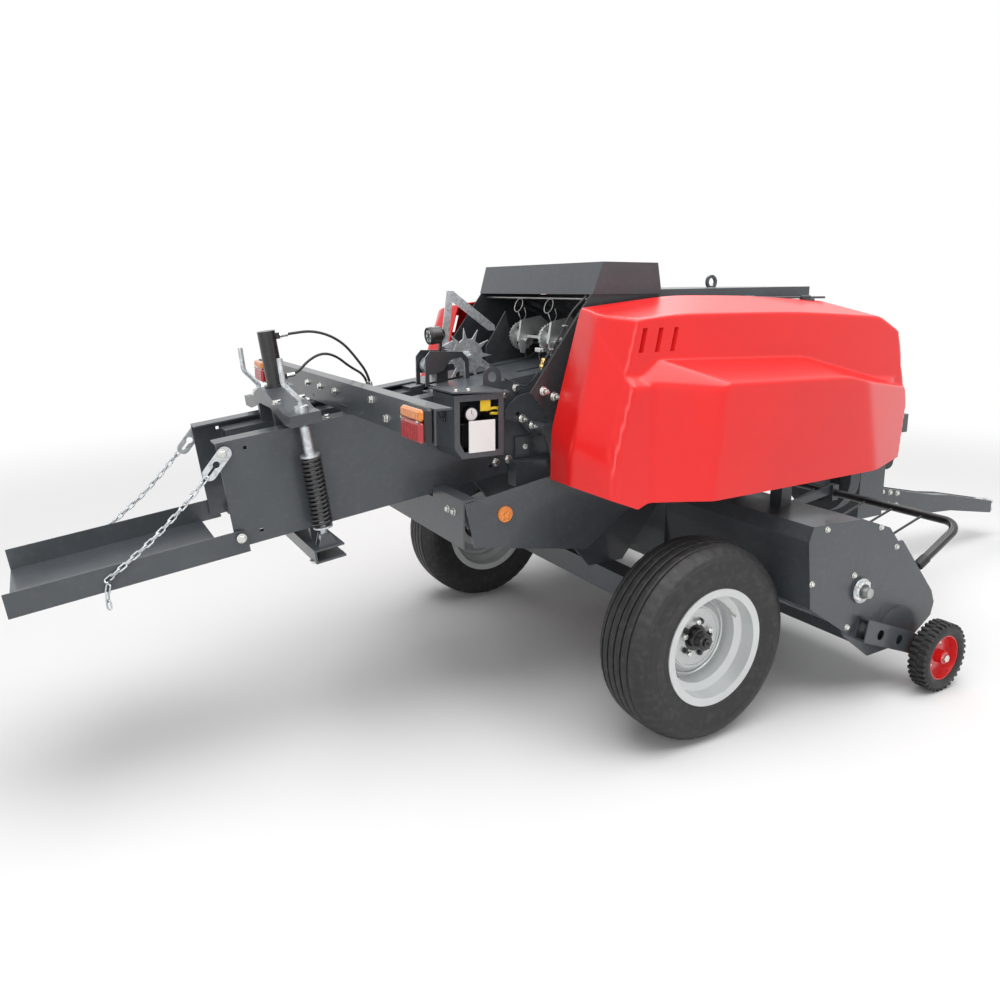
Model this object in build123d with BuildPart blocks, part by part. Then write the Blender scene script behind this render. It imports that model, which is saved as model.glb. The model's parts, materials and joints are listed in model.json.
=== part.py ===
from build123d import *
from math import cos, degrees, radians, sin, tan
import os

# Small square baler, towed. Millimetres, +X to the hitch, +Y to the left, +Z up.
# Places are measured forward from the axle and up from the ground; the finished
# pieces are then shifted so that the origin lies on the ground under the middle.

# Running gear
tyre_diameter = 760
tyre_width = 260
bead_radius = 204
track = 1720
rim_lip_radius = 225
spindle_radius = 22
hub_radius = 40
hub_flange_radius = 80
stud_circle = 66
stud_count = 5
stud_radius = 7
running_gap = 0.05

# Bale chamber: its rear lower edge, its slope and its section
chamber_rear_x = -1524
chamber_rear_z = 803
chamber_tilt = 7.67
chamber_half_width = 236
chamber_height = 372
chamber_length = 2700
chamber_plate = 6
lug_x = -522
lug_z = 1338
lug_hole_radius = 20
lug_drop = 98
top_flange = 80

# Density press round the chamber, placed along the chamber from its rear end
press_u = 290
press_half_depth = 55
screw_offset = 290
screw_radius = 12
spring_radius = 36
spring_wire = 9
spring_foot_n = 14
spring_top_n = 268
cylinder_radius = 32
bridge_top_n = 486
cylinder_top_n = 690

# Chute
chute_length = 731
chute_wall = 80
chute_pivot_u = 17
chute_pivot_n = 38
chute_angle = 7.56
chute_half_width = 250
chute_sheet = 4
chute_pin_radius = 8

# Frame
beam_inner_y = 242
beam_width = 60
beam_bottom_z = 900
beam_height = 100
beam_rear_x = -450
beam_front_x = 2080
axle_size = 100
axle_bottom_z = 410
post_x = (1980, 2200)
post_half_gap = 100
post_plate = 12
tongue_half_width = 46
drawbar_plate = 12
hitch_x = 3500
hitch_z = 222
hitch_pin_radius = 16

# Pickup and cross auger
auger_x = 710
auger_z = 490
auger_radius = 110
housing_half_width = 1050
housing_plate = 6
pickup_plate_gap = 5
pickup_plate = 8
arm_depth = 50
arm_wall = 5
bearing_radius = 30
auger_shaft_radius = 20
reel_x = 1030
reel_z = 330
tine_tip_radius = 195
reel_shaft_radius = 22
band_radius = 160
band_pitch = 70
band_width = 44
band_count = 29
gauge_x = 1130
gauge_y = 1147
gauge_radius = 150
gauge_width = 84
guard_x = 1460
guard_z = 640
guard_tube_radius = 19
guard_half_width = 1000
guard_arm_y = 320

# Covers
cover_wall = 5
cover_inner_y = 500
cover_hinge_y = 486
cover_hinge_z = 1639
hinge_rod_radius = 5

# The middle of the machine, from the axle, between the chute's end and the hitch
rear_end_x = -2217
front_end_x = 3550
middle_x = (rear_end_x + front_end_x) / 2

wheel_z = tyre_diameter / 2
tilt = radians(chamber_tilt)
along = Vector(cos(tilt), 0, sin(tilt))
upward = Vector(-sin(tilt), 0, cos(tilt))
chamber_origin = Vector(chamber_rear_x, 0, chamber_rear_z)
pieces = {}


def keep(name, part):
    """Put a finished piece on the list that is written at the end."""
    pieces[name] = part


def keep_pair(name, part):
    """Keep a right-hand piece and its mirror image on the left."""
    keep(f"{name}_right", part)
    keep(f"{name}_left", mirror(part, about=Plane.XZ))


def side(y):
    """A plane seen from the right: forward, up, and out to the right."""
    return Plane.XZ.offset(-y)


def chamber_point(u, n, y=0):
    """A point u forward along the chamber, n up from its floor, y to the left."""
    return chamber_origin + along * u + upward * n + Vector(0, y, 0)


def chamber_side(y):
    return Plane(origin=chamber_point(0, 0, y), x_dir=along, z_dir=(0, -1, 0))


def chamber_across(u):
    return Plane(origin=chamber_point(u, 0), x_dir=(0, 1, 0), z_dir=along)


def chamber_upright(u, n, y=0):
    return Plane(origin=chamber_point(u, n, y), x_dir=along, z_dir=upward)


def deck_z(x):
    """The height of the chamber's top at x."""
    corner = chamber_point(0, chamber_height)
    return corner.Z + (x - corner.X) * tan(tilt)


def slab(outline, plane, amount, mode=Mode.ADD):
    """Extrude a closed outline from a plane."""
    with BuildSketch(plane) as profile:
        with BuildLine():
            Polyline(*outline, close=True)
        make_face()
    extrude(profile.sketch, amount=amount, mode=mode)


def disc(plane, radius, amount, hole=0, mode=Mode.ADD):
    """Extrude a circle, with a hole in it where one is given."""
    with BuildSketch(plane) as profile:
        Circle(radius)
        if hole:
            Circle(hole, mode=Mode.SUBTRACT)
    extrude(profile.sketch, amount=amount, mode=mode)


def block(x, y, z, mode=Mode.ADD):
    """A box from its low and high values along each axis."""
    middle = ((x[0] + x[1]) / 2, (y[0] + y[1]) / 2, (z[0] + z[1]) / 2)
    with Locations(middle):
        Box(x[1] - x[0], y[1] - y[0], z[1] - z[0], mode=mode)


def chamber_block(u, y, n, mode=Mode.ADD):
    """A box that lies square to the chamber."""
    outline = [(u[0], n[0]), (u[1], n[0]), (u[1], n[1]), (u[0], n[1])]
    slab(outline, chamber_side(y[0]), -(y[1] - y[0]), mode=mode)


def turned(outline, plane):
    """Revolve an outline of (along the axis, radius) points about the plane's x axis."""
    with BuildSketch(plane) as profile:
        with BuildLine():
            Polyline(*outline, close=True)
        make_face()
    revolve(profile.sketch, axis=Axis(plane.origin, plane.x_dir))


def cross_axis(x, y, z):
    """A plane whose x axis lies across the machine, for turning wheels."""
    return Plane(origin=(x, y, z), x_dir=(0, 1, 0), z_dir=(1, 0, 0))


def tube(points, radii, radius):
    """A round bar along straight runs joined by tangent arcs."""
    with BuildLine() as path:
        FilletPolyline(*points, radius=radii)
    start = Plane(origin=path.line @ 0, z_dir=path.line % 0)
    with BuildSketch(start) as section:
        Circle(radius)
    sweep(section.sketch, path=path.line)


def sheet(points, plane, thickness, amount):
    """A bent sheet: a line of points given its thickness and extruded."""
    with BuildSketch(plane) as profile:
        with BuildLine():
            Polyline(*points)
        trace(line_width=thickness)
    extrude(profile.sketch, amount=amount)


# Main wheels
wheel_y = -track / 2
with BuildPart() as tyre:
    half = tyre_width / 2
    with BuildSketch(cross_axis(0, wheel_y, wheel_z)) as tyre_profile:
        with BuildLine():
            Polyline((-108, bead_radius), (108, bead_radius), (112, 236))
            ThreePointArc((112, 236), (half, 292), (0.85 * half, 348))
            ThreePointArc((0.85 * half, 348), (0.68 * half, 371), (0.42 * half, 378))
            ThreePointArc((0.42 * half, 378), (0, tyre_diameter / 2), (-0.42 * half, 378))
            ThreePointArc((-0.42 * half, 378), (-0.68 * half, 371), (-0.85 * half, 348))
            ThreePointArc((-0.85 * half, 348), (-half, 292), (-112, 236))
            Line((-112, 236), (-108, bead_radius))
        make_face()
    revolve(tyre_profile.sketch, axis=Axis((0, wheel_y, wheel_z), (0, 1, 0)))
keep_pair("tyre", tyre.part)

with BuildPart() as rim:
    seat = bead_radius - 0.5
    turned(
        [
            (-122, rim_lip_radius), (-113, rim_lip_radius), (-113, seat), (-60, seat - 5),
            (-46, 172), (40, 172), (54, seat - 5), (113, seat), (113, rim_lip_radius),
            (122, rim_lip_radius), (120, seat - 8), (58, seat - 12), (44, 165), (-50, 165),
            (-64, seat - 12), (-120, seat - 8),
        ],
        cross_axis(0, wheel_y, wheel_z),
    )
    turned(
        [
            (10, 166), (18, 166), (18, 150), (-6, 118), (-6, hub_radius + 12),
            (-14, hub_radius + 12), (-14, 122), (10, 154),
        ],
        cross_axis(0, wheel_y, wheel_z),
    )
    with BuildSketch(side(wheel_y)) as stud_holes:
        with Locations((0, wheel_z)):
            with PolarLocations(stud_circle, stud_count):
                Circle(stud_radius + 0.2)
    extrude(stud_holes.sketch, amount=20, mode=Mode.SUBTRACT)
keep_pair("rim", rim.part)

with BuildPart() as hub:
    turned(
        [
            (-75, 0), (-75, 26), (-70, 32), (-40, 34), (-38, hub_radius), (-14, hub_radius),
            (-14, hub_radius + 12), (-6, hub_radius + 12), (-6, hub_flange_radius),
            (6, hub_flange_radius), (8, hub_radius + 10), (60, hub_radius), (60, 0),
        ],
        cross_axis(0, wheel_y, wheel_z),
    )
    disc(Plane(origin=(0, wheel_y + 60, wheel_z), z_dir=(0, -1, 0)),
         spindle_radius + running_gap, 110, mode=Mode.SUBTRACT)
    with BuildSketch(side(wheel_y - 6)) as wheel_studs:
        with Locations((0, wheel_z)):
            with PolarLocations(stud_circle, stud_count):
                Circle(stud_radius)
    extrude(wheel_studs.sketch, amount=24)
    with BuildSketch(side(wheel_y - 14)) as wheel_nuts:
        with Locations((0, wheel_z)):
            with PolarLocations(stud_circle, stud_count):
                RegularPolygon(12, 6)
    extrude(wheel_nuts.sketch, amount=11)
keep_pair("hub", hub.part)

# Axle beam with its drop plates and spindles
with BuildPart() as axle:
    axle_end = -track / 2 + 200
    half = axle_size / 2
    block((-half, half), (axle_end, -axle_end), (axle_bottom_z, axle_bottom_z + axle_size))
    for hand in (-1, 1):
        ends = sorted((hand * abs(axle_end), hand * (abs(axle_end) + 16)))
        block((-60, 60), ends, (wheel_z - 60, axle_bottom_z + axle_size))
        with BuildSketch(Plane.XZ.offset(-hand * (abs(axle_end) + 16))) as spindle_root:
            with Locations((0, wheel_z)):
                Circle(34)
        extrude(spindle_root.sketch, amount=-hand * 110)
        with BuildSketch(Plane.XZ.offset(-hand * (abs(axle_end) + 120))) as spindle:
            with Locations((0, wheel_z)):
                Circle(spindle_radius)
        extrude(spindle.sketch, amount=-hand * 110)
keep("axle", axle.part)

# Main frame: two long beams, their gussets down to the axle, skirts up to the chamber,
# cross members, and the front posts that reach down to the tongue
beam_outer_y = beam_inner_y + beam_width
beam_top_z = beam_bottom_z + beam_height
axle_top_z = axle_bottom_z + axle_size
gusset_plate = 12
with BuildPart() as main_frame:
    block((beam_rear_x, beam_front_x), (-beam_outer_y, -beam_inner_y), (beam_bottom_z, beam_top_z))
    slab(
        [
            (-420, beam_top_z), (-420, beam_bottom_z), (-90, axle_top_z), (90, axle_top_z),
            (420, beam_bottom_z), (420, beam_top_z),
        ],
        side(-beam_outer_y),
        gusset_plate,
    )
    skirt_slope = tan(tilt)
    slab(
        [
            (-350, beam_bottom_z + 50), (-350, 1080), (1150, 1080 + 1500 * skirt_slope),
            (1150, beam_bottom_z + 50),
        ],
        side(-chamber_half_width),
        beam_inner_y - chamber_half_width,
    )
    mirror(about=Plane.XZ)
    block((1000, 1080), (-beam_inner_y, beam_inner_y), (beam_bottom_z + 20, beam_top_z))
    block((1500, 1700), (-beam_inner_y, beam_inner_y), (beam_top_z - 12, beam_top_z))
    block((beam_front_x - 100, beam_front_x), (-beam_outer_y, beam_outer_y), (beam_bottom_z, beam_top_z))
    for hand in (-1, 1):
        post_y = sorted((hand * post_half_gap, hand * (post_half_gap + post_plate)))
        block(post_x, post_y, (360, beam_bottom_z))
    block((post_x[0], post_x[1]), (-post_half_gap, post_half_gap), (360, 380))
    block((post_x[0], post_x[0] + 12), (-post_half_gap, post_half_gap), (360, 540))
keep("main_frame", main_frame.part)

# Drawbar: a rear tongue beam between two side plates that run on to the hitch
with BuildPart() as drawbar:
    slab(
        [(post_x[0] + 12, 380), (post_x[0] + 12, 532), (2480, 452), (2480, 330), (2200, 380)],
        side(-tongue_half_width),
        -2 * tongue_half_width,
    )
    plates = [
        (2220, 512), (2790, 393), (2980, 366), (3480, 262), (3480, 180),
        (3000, 262), (2790, 276), (2220, 372),
    ]
    for hand in (-1, 1):
        low = -tongue_half_width - drawbar_plate if hand < 0 else tongue_half_width
        slab(plates, side(low), -drawbar_plate)
    slab(
        [(2480, 452), (2790, 388), (2980, 361), (3440, 265), (3440, 255), (2980, 349), (2480, 440)],
        side(-tongue_half_width), -2 * tongue_half_width,
    )
    slab(
        [(2480, 342), (2790, 294), (3000, 276), (3440, 200), (3440, 190), (3000, 264), (2790, 280), (2480, 330)],
        side(-tongue_half_width), -2 * tongue_half_width,
    )
keep("drawbar", drawbar.part)

with BuildPart() as hitch:
    clevis_gap = 36
    clevis_plate = 18
    ear = front_end_x - hitch_x
    for floor in (hitch_z - clevis_gap / 2 - clevis_plate, hitch_z + clevis_gap / 2):
        with BuildSketch(Plane.XY.offset(floor)) as ears:
            with Locations((hitch_x, 0)):
                Circle(ear)
            with Locations((hitch_x - 30, 0)):
                Rectangle(60, 2 * tongue_half_width)
            with Locations((hitch_x, 0)):
                Circle(hitch_pin_radius, mode=Mode.SUBTRACT)
        extrude(ears.sketch, amount=clevis_plate)
    block((3440, 3456), (-tongue_half_width, tongue_half_width), (186, 264))
keep("hitch_clevis", hitch.part)

# Parking jack on the left of the tongue
jack_x = 2300
jack_y = 150
jack_tube_radius = 34
jack_leg_radius = 28
jack_gap = 0.5
with BuildPart() as jack_tube:
    disc(Plane.XY.offset(240).shift_origin((jack_x, jack_y, 240)), jack_tube_radius, 560,
         hole=jack_leg_radius + jack_gap)
    disc(Plane.XY.offset(800).shift_origin((jack_x, jack_y, 800)), jack_tube_radius + 4, 30)
    tongue_side = tongue_half_width + drawbar_plate
    block((jack_x - 50, jack_x + 50), (tongue_side, tongue_side + 10), (380, 470))
    block((jack_x - 12, jack_x + 12), (tongue_side, jack_y - jack_leg_radius - 3), (385, 465))
keep("jack_tube", jack_tube.part)

with BuildPart() as jack_leg:
    disc(Plane.XY.offset(8).shift_origin((jack_x, jack_y, 8)), jack_leg_radius, 560)
    disc(Plane.XY.shift_origin((jack_x, jack_y, 0)), 85, 8)
keep("jack_leg", jack_leg.part)

# Bale chamber: side plates with inward top flanges, floor, deck and density rails
with BuildPart() as chamber_wall:
    half = chamber_half_width
    chamber_block((0, chamber_length), (-half, -half + chamber_plate), (0, chamber_height))
    chamber_block((0, 900), (-half, -half + top_flange), (chamber_height - chamber_plate, chamber_height))
    for u, n in ((92, 337), (92, 40), (1010, 42)):
        chamber_block((u - 6, u + 6), (-half - 1, -half + 10), (n - 6, n + 6), mode=Mode.SUBTRACT)
    pivot = chamber_point(chute_pivot_u, chute_pivot_n)
    pin_end = chute_half_width + 5
    disc(Plane(origin=(pivot.X, -half, pivot.Z), z_dir=(0, -1, 0)), chute_pin_radius, pin_end - half)
    disc(Plane(origin=(pivot.X, -pin_end, pivot.Z), z_dir=(0, -1, 0)), 13, 7)
    with BuildSketch(side(-half)) as lifting_lug:
        with Locations((lug_x, lug_z)):
            Circle(2 * lug_hole_radius)
        with Locations((lug_x, lug_z - lug_drop / 2)):
            Rectangle(4 * lug_hole_radius, lug_drop)
        with Locations((lug_x, lug_z)):
            Circle(lug_hole_radius, mode=Mode.SUBTRACT)
    extrude(lifting_lug.sketch, amount=5)
keep_pair("chamber_side", chamber_wall.part)

inner_y = chamber_half_width - chamber_plate
with BuildPart() as chamber_floor:
    chamber_block((330, chamber_length), (-inner_y, inner_y), (0, chamber_plate))
    for hand in (-1, 1):
        edge = sorted((hand * (inner_y - 40), hand * inner_y))
        chamber_block((60, 330), edge, (0, chamber_plate))
        lip = sorted((hand * (inner_y - 40), hand * (inner_y - 34)))
        chamber_block((60, 330), lip, (0, 30))
        needle_slot = sorted((hand * 105, hand * 135))
        chamber_block((1120, 1380), needle_slot, (-1, 10), mode=Mode.SUBTRACT)
    feed = (1840, 2250)
    chamber_block(feed, (-180, 180), (-1, 10), mode=Mode.SUBTRACT)
keep("chamber_floor", chamber_floor.part)

star_y = 30
with BuildPart() as chamber_deck:
    top = chamber_height
    chamber_block((900, chamber_length), (-inner_y, inner_y), (top - chamber_plate, top))
    chamber_block((900, 1200), (star_y - 22, star_y + 22), (top - 10, top + 5), mode=Mode.SUBTRACT)
    for hand in (-1, 1):
        needle_slot = sorted((hand * 105, hand * 135))
        chamber_block((1250, 1420), needle_slot, (top - 10, top + 5), mode=Mode.SUBTRACT)
keep("chamber_deck", chamber_deck.part)

rail_y = (60, 150)
rail_top_n = 352
with BuildPart() as density_rails:
    for hand in (-1, 1):
        low, high = sorted((hand * rail_y[0], hand * rail_y[1]))
        chamber_block((90, 890), (low, high), (rail_top_n - 50, rail_top_n))
        chamber_block((89, 891), (low + 6, high - 6), (rail_top_n - 51, rail_top_n - 6), mode=Mode.SUBTRACT)
        chamber_block((840, 900), (low, high), (rail_top_n - 6, rail_top_n + 14))
keep("density_rails", density_rails.part)

# Density press: bridge over the chamber, beam below it, screws, springs and cylinder
press_ends = (press_u - press_half_depth, press_u + press_half_depth)
bridge_half = 325
with BuildPart() as bridge:
    outline = [
        (-bridge_half, 385), (-bridge_half, 425), (-250, 425), (-45, bridge_top_n),
        (45, bridge_top_n), (250, 425), (bridge_half, 425), (bridge_half, 385), (240, 385),
        (70, 425), (-70, 425), (-240, 385),
    ]
    slab(outline, chamber_across(press_ends[0]), 2 * press_half_depth)
    inside = [
        (-bridge_half + 8, 380), (-bridge_half + 8, 417), (-248, 417), (-44, bridge_top_n - 8),
        (44, bridge_top_n - 8), (248, 417), (bridge_half - 8, 417), (bridge_half - 8, 380),
    ]
    slab(inside, chamber_across(press_ends[0] + 8), 2 * press_half_depth - 16, mode=Mode.SUBTRACT)
    for hand in (-1, 1):
        foot = sorted((hand * 92, hand * 118))
        chamber_block(press_ends, foot, (rail_top_n, 440))
        disc(chamber_upright(press_u, 380, hand * screw_offset), screw_radius + 1, 80, mode=Mode.SUBTRACT)
keep("density_bridge", bridge.part)

with BuildPart() as lower_beam:
    slab(
        [(-bridge_half, -108), (bridge_half, -108), (bridge_half, -58), (-bridge_half, -58)],
        chamber_across(press_ends[0]),
        2 * press_half_depth,
    )
    slab(
        [(-bridge_half - 1, -101), (bridge_half + 1, -101), (bridge_half + 1, -65), (-bridge_half - 1, -65)],
        chamber_across(press_ends[0] + 7),
        2 * press_half_depth + 7,
        mode=Mode.SUBTRACT,
    )
    for hand in (-1, 1):
        foot = sorted((hand * 196, hand * 222))
        chamber_block((press_u - 30, press_u + 30), foot, (-65, 0))
        for ear_shift in (-24, 16):
            low = hand * screw_offset + ear_shift
            slab(
                [
                    (press_u - 34, -58), (press_u - 16, -12), (press_u + 16, -12),
                    (press_u + 34, -58),
                ],
                chamber_side(low),
                -8,
            )
        pin = chamber_side(hand * screw_offset + 24)
        disc(Plane(origin=chamber_point(press_u, -32, hand * screw_offset + 24), x_dir=pin.x_dir,
                   z_dir=pin.z_dir), 8, 48)
keep("density_lower_beam", lower_beam.part)

with BuildPart() as screws:
    for hand in (-1, 1):
        y = hand * screw_offset
        disc(chamber_upright(press_u, -32, y), screw_radius, 480)
        disc(Plane(origin=chamber_point(press_u, -32, y + 12), x_dir=along, z_dir=(0, -1, 0)), 20, 24)
        disc(Plane(origin=chamber_point(press_u, -32, y + 12), x_dir=along, z_dir=(0, -1, 0)), 8.3, 24,
             mode=Mode.SUBTRACT)
        disc(chamber_upright(press_u, spring_foot_n - 6, y), spring_radius - 2, 6)
        disc(chamber_upright(press_u, spring_top_n, y), spring_radius - 2, 8)
        disc(chamber_upright(press_u, spring_top_n, y), 18, 385 - spring_top_n - 8)
        disc(chamber_upright(press_u, 425, y), 24, 22)
        tube(
            [
                chamber_point(press_u, 440, y), chamber_point(press_u, 466, y),
                chamber_point(press_u - 45, 530, y), chamber_point(press_u - 42, 618, y),
            ],
            [18, 30],
            9.5,
        )
keep("density_screws", screws.part)

with BuildPart() as springs:
    turns = 17
    pitch = (spring_top_n - spring_foot_n) / turns
    for hand in (-1, 1):
        base = Plane(origin=chamber_point(press_u, spring_foot_n, hand * screw_offset),
                     x_dir=upward, z_dir=(0, 1, 0))
        outer = []
        for turn in range(turns):
            outer.append(((turn + 0.15) * pitch, spring_radius - 4))
            outer.append(((turn + 0.5) * pitch, spring_radius))
            outer.append(((turn + 0.85) * pitch, spring_radius - 4))
        inner_radius = spring_radius - spring_wire
        length = turns * pitch
        turned([(0, spring_radius - 4)] + outer + [(length, spring_radius - 4), (length, inner_radius),
               (0, inner_radius)], base)
keep("density_springs", springs.part)

with BuildPart() as cylinder:
    disc(chamber_upright(press_u, bridge_top_n), cylinder_radius + 10, 8)
    disc(chamber_upright(press_u, bridge_top_n + 8), cylinder_radius, cylinder_top_n - bridge_top_n - 8)
    chamber_block((press_u + 20, press_u + 44), (-12, 12), (cylinder_top_n - 34, cylinder_top_n - 12))
    chamber_block((press_u + 20, press_u + 44), (-12, 12), (bridge_top_n + 20, bridge_top_n + 42))
keep("density_cylinder", cylinder.part)

# Chute with its raised walls, hinged on the chamber's lower rear corners
fold = radians(chute_angle)
chute_front = Vector(-1482, 0, 790)
chute_side = Plane(origin=(chute_front.X, 0, chute_front.Z), x_dir=(-cos(fold), 0, -sin(fold)),
                   z_dir=(0, 1, 0))
with BuildPart() as chute:
    half = chute_half_width
    with BuildSketch(chute_side.offset(-half)) as wall_outline:
        with BuildLine():
            Polyline((0, 0), (chute_length, 0), (chute_length, chute_wall), (0, chute_wall), close=True)
        make_face()
        fillet(wall_outline.vertices().group_by(Axis.X)[0].sort_by(Axis.Z)[-1:], 24)
    extrude(wall_outline.sketch, amount=chute_sheet)
    mirror(about=Plane.XZ)
    floor = [(75, 0), (chute_length, 0), (chute_length, chute_sheet), (75, chute_sheet)]
    slab(floor, chute_side.offset(-half), 2 * half)
    for hand in (-1, 1):
        disc(Plane(origin=(pivot.X, hand * half, pivot.Z), z_dir=(0, hand, 0)), 16, 4)
        disc(Plane(origin=(-1925, hand * half, 767.7), z_dir=(0, hand, 0)), 5, 20)
        disc(Plane(origin=(pivot.X, hand * (half - 10), pivot.Z), z_dir=(0, hand, 0)),
             chute_pin_radius + running_gap, 20, mode=Mode.SUBTRACT)
keep("chute", chute.part)

chain_plate_y = chute_half_width + 8
with BuildPart() as chain_plates:
    top = chamber_point(17, 336)
    for hand in (-1, 1):
        plate = Plane(origin=(top.X, hand * chain_plate_y, top.Z),
                      x_dir=(0.62, 0, 0.78), z_dir=(0, -1, 0))
        with BuildSketch(plate) as keyhole_plate:
            with Locations((-38, 0)):
                SlotOverall(128, 46)
            with Locations((-42, 0)):
                Circle(12, mode=Mode.SUBTRACT)
            with Locations((-66, 0)):
                SlotOverall(40, 10, mode=Mode.SUBTRACT)
        extrude(keyhole_plate.sketch, amount=3, both=True)
        disc(Plane(origin=(top.X, hand * chamber_half_width, top.Z), z_dir=(0, hand, 0)), 9, 26)
keep("chain_plates", chain_plates.part)

chain_radius = 6
chain_y = chain_plate_y + 3 + chain_radius + 0.3
chain_top = Vector(-1608, chain_y, 1071)
chain_end = Vector(-1920, chain_y - 8, 778)
with BuildPart() as chain:
    sag = [
        chain_top, Vector(-1694, chain_y - 2, 977), Vector(-1778, chain_y - 4, 894), Vector(-1856, chain_y - 6, 829),
        chain_end,
    ]
    tube([Vector(p.X, -p.Y, p.Z) for p in sag], [150, 150, 150], chain_radius)
    mirror(about=Plane.XZ)
keep("chute_chains", chain.part)

# Tail-light bar across the chamber, and its lamps
bar_x = -1112
bar_top = 1345
with BuildPart() as light_bar:
    block((bar_x, bar_x + 6), (-955, 955), (1240, bar_top))
    block((bar_x, bar_x + 56), (-955, 955), (bar_top - 6, bar_top))
    for hand in (-1, 1):
        foot = sorted((hand * 165, hand * 231))
        chamber_block((468, 515), foot, (chamber_height, chamber_height + 30))
keep("light_bar", light_bar.part)

with BuildPart() as lamps:
    for hand in (-1, 1):
        ends = sorted((hand * 812, hand * 955))
        block((bar_x - 46, bar_x), ends, (1243, 1348))
    fillet(lamps.edges().filter_by(Axis.X), 12)
keep("tail_lamps", lamps.part)

# Control box on the right, with its shelf and gauge
box_x = (-780, -575)
box_y = (-420, -242)
box_z = (1065, 1300)
with BuildPart() as control_box:
    slab(
        [(box_x[0], box_z[0] + 40), (box_x[0] + 30, box_z[0]), (box_x[1], box_z[0]),
         (box_x[1], box_z[1]), (box_x[0], box_z[1])],
        side(box_y[1]), box_y[1] - box_y[0],
    )
    slab(
        [(box_x[0] + 4, box_z[0] + 42), (box_x[0] + 32, box_z[0] + 4), (box_x[1] - 4, box_z[0] + 4),
         (box_x[1] - 4, box_z[1] - 4), (box_x[0] + 4, box_z[1] - 4)],
        side(box_y[1] - 4), box_y[1] - box_y[0] - 8, mode=Mode.SUBTRACT,
    )
    slab(
        [(box_x[0] + 22, box_z[0] + 60), (box_x[0] + 40, box_z[0] + 24), (box_x[1] - 22, box_z[0] + 24),
         (box_x[1] - 22, box_z[1] - 24), (box_x[0] + 22, box_z[1] - 24)],
        side(box_y[0] + 10), 20, mode=Mode.SUBTRACT,
    )
    slab(
        [(box_x[0] - 20, box_z[1] + 10), (box_x[1] + 15, box_z[1]), (box_x[1] + 15, box_z[1] + 6),
         (box_x[0] - 20, box_z[1] + 16)],
        side(box_y[1]), box_y[1] - box_y[0] + 18,
    )
    block((box_x[0], box_x[1]), (box_y[1] - 4, box_y[1]), (box_z[0] + 45, box_z[1] + 4))
    for x in (box_x[0] + 40, box_x[1] - 40):
        block((x - 15, x + 15), (box_y[1], -chamber_half_width), (box_z[0] + 60, box_z[0] + 120))
keep("control_box", control_box.part)

with BuildPart() as gauge_panel:
    shelf_z = 1185
    block((box_x[0] + 4, box_x[1] - 4), (box_y[0] + 30, box_y[1] - 4), (shelf_z, shelf_z + 4))
    disc(Plane(origin=(-700, box_y[0] + 50, shelf_z + 40), z_dir=(0, -1, 0)), 27, 24)
    block((-706, -694), (box_y[0] + 32, box_y[0] + 46), (shelf_z + 4, shelf_z + 30))
    block((-720, -600), (box_y[0] + 60, box_y[0] + 64), (1095, shelf_z))
keep("gauge_panel", gauge_panel.part)

# Hose block on the deck and the two hoses to the density cylinder
block_u = (620, 690)
with BuildPart() as hose_block:
    chamber_block(block_u, (-156, 156), (chamber_height - chamber_plate, chamber_height))
    chamber_block((block_u[0] + 10, block_u[1] - 10), (-45, 75), (chamber_height, chamber_height + 28))
keep("hose_block", hose_block.part)

hose_radius = 5
block_top = chamber_height + 28
ports = {
    "upper": chamber_point(press_u + 44, cylinder_top_n - 23, 0),
    "lower": chamber_point(press_u + 44, bridge_top_n + 31, 0),
}
hose_ends = {
    "upper": chamber_point(655, block_top, 10),
    "lower": chamber_point(655, block_top, 40),
}
upper_route = [
    ports["upper"], ports["upper"] + along * 55, ports["upper"] + Vector(118, -3, 14),
    ports["upper"] + Vector(185, -3, -2), ports["upper"] + Vector(245, 0, -38),
    ports["upper"] + Vector(292, 4, -92), hose_ends["upper"] + upward * 58,
    hose_ends["upper"],
]
lower_route = [
    ports["lower"], ports["lower"] + along * 40, ports["lower"] + Vector(88, 14, 52),
    ports["lower"] + Vector(148, 24, 78), ports["lower"] + Vector(205, 32, 62),
    ports["lower"] + Vector(256, 38, 20),
    hose_ends["lower"] + upward * 52, hose_ends["lower"],
]


def hose(route):
    """A hose along its route, each bend as large as its two runs allow."""
    radii = []
    for before, at, after in zip(route, route[1:], route[2:]):
        turn = (at - before).get_angle(after - at)
        radii.append(0.45 * min((at - before).length, (after - at).length) / tan(radians(turn) / 2))
    print("hose bend radii", [round(r) for r in radii])
    tube(route, radii, hose_radius)


with BuildPart() as hose_upper:
    hose(upper_route)
keep("hose_upper", hose_upper.part)
with BuildPart() as hose_lower:
    hose(lower_route)
keep("hose_lower", hose_lower.part)

# Star wheel that meters the bale length, its stand and the trip arm
star_x = -490
star_z = 1400
star_radius = 118
with BuildPart() as star_wheel:
    teeth = 11
    points = []
    for tooth in range(teeth):
        start = 360 / teeth * tooth
        for turn, radius in ((0, star_radius), (7, 74), (26, 70)):
            angle = radians(start + turn)
            points.append((star_x + radius * cos(angle), star_z + radius * sin(angle)))
    slab(points, side(star_y + 3), 6)
    star_axis = Plane(origin=(star_x, star_y + 22, star_z), z_dir=(0, -1, 0))
    disc(star_axis, 18, 44)
    disc(star_axis, 10 + running_gap, 44, mode=Mode.SUBTRACT)
keep("star_wheel", star_wheel.part)

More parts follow.
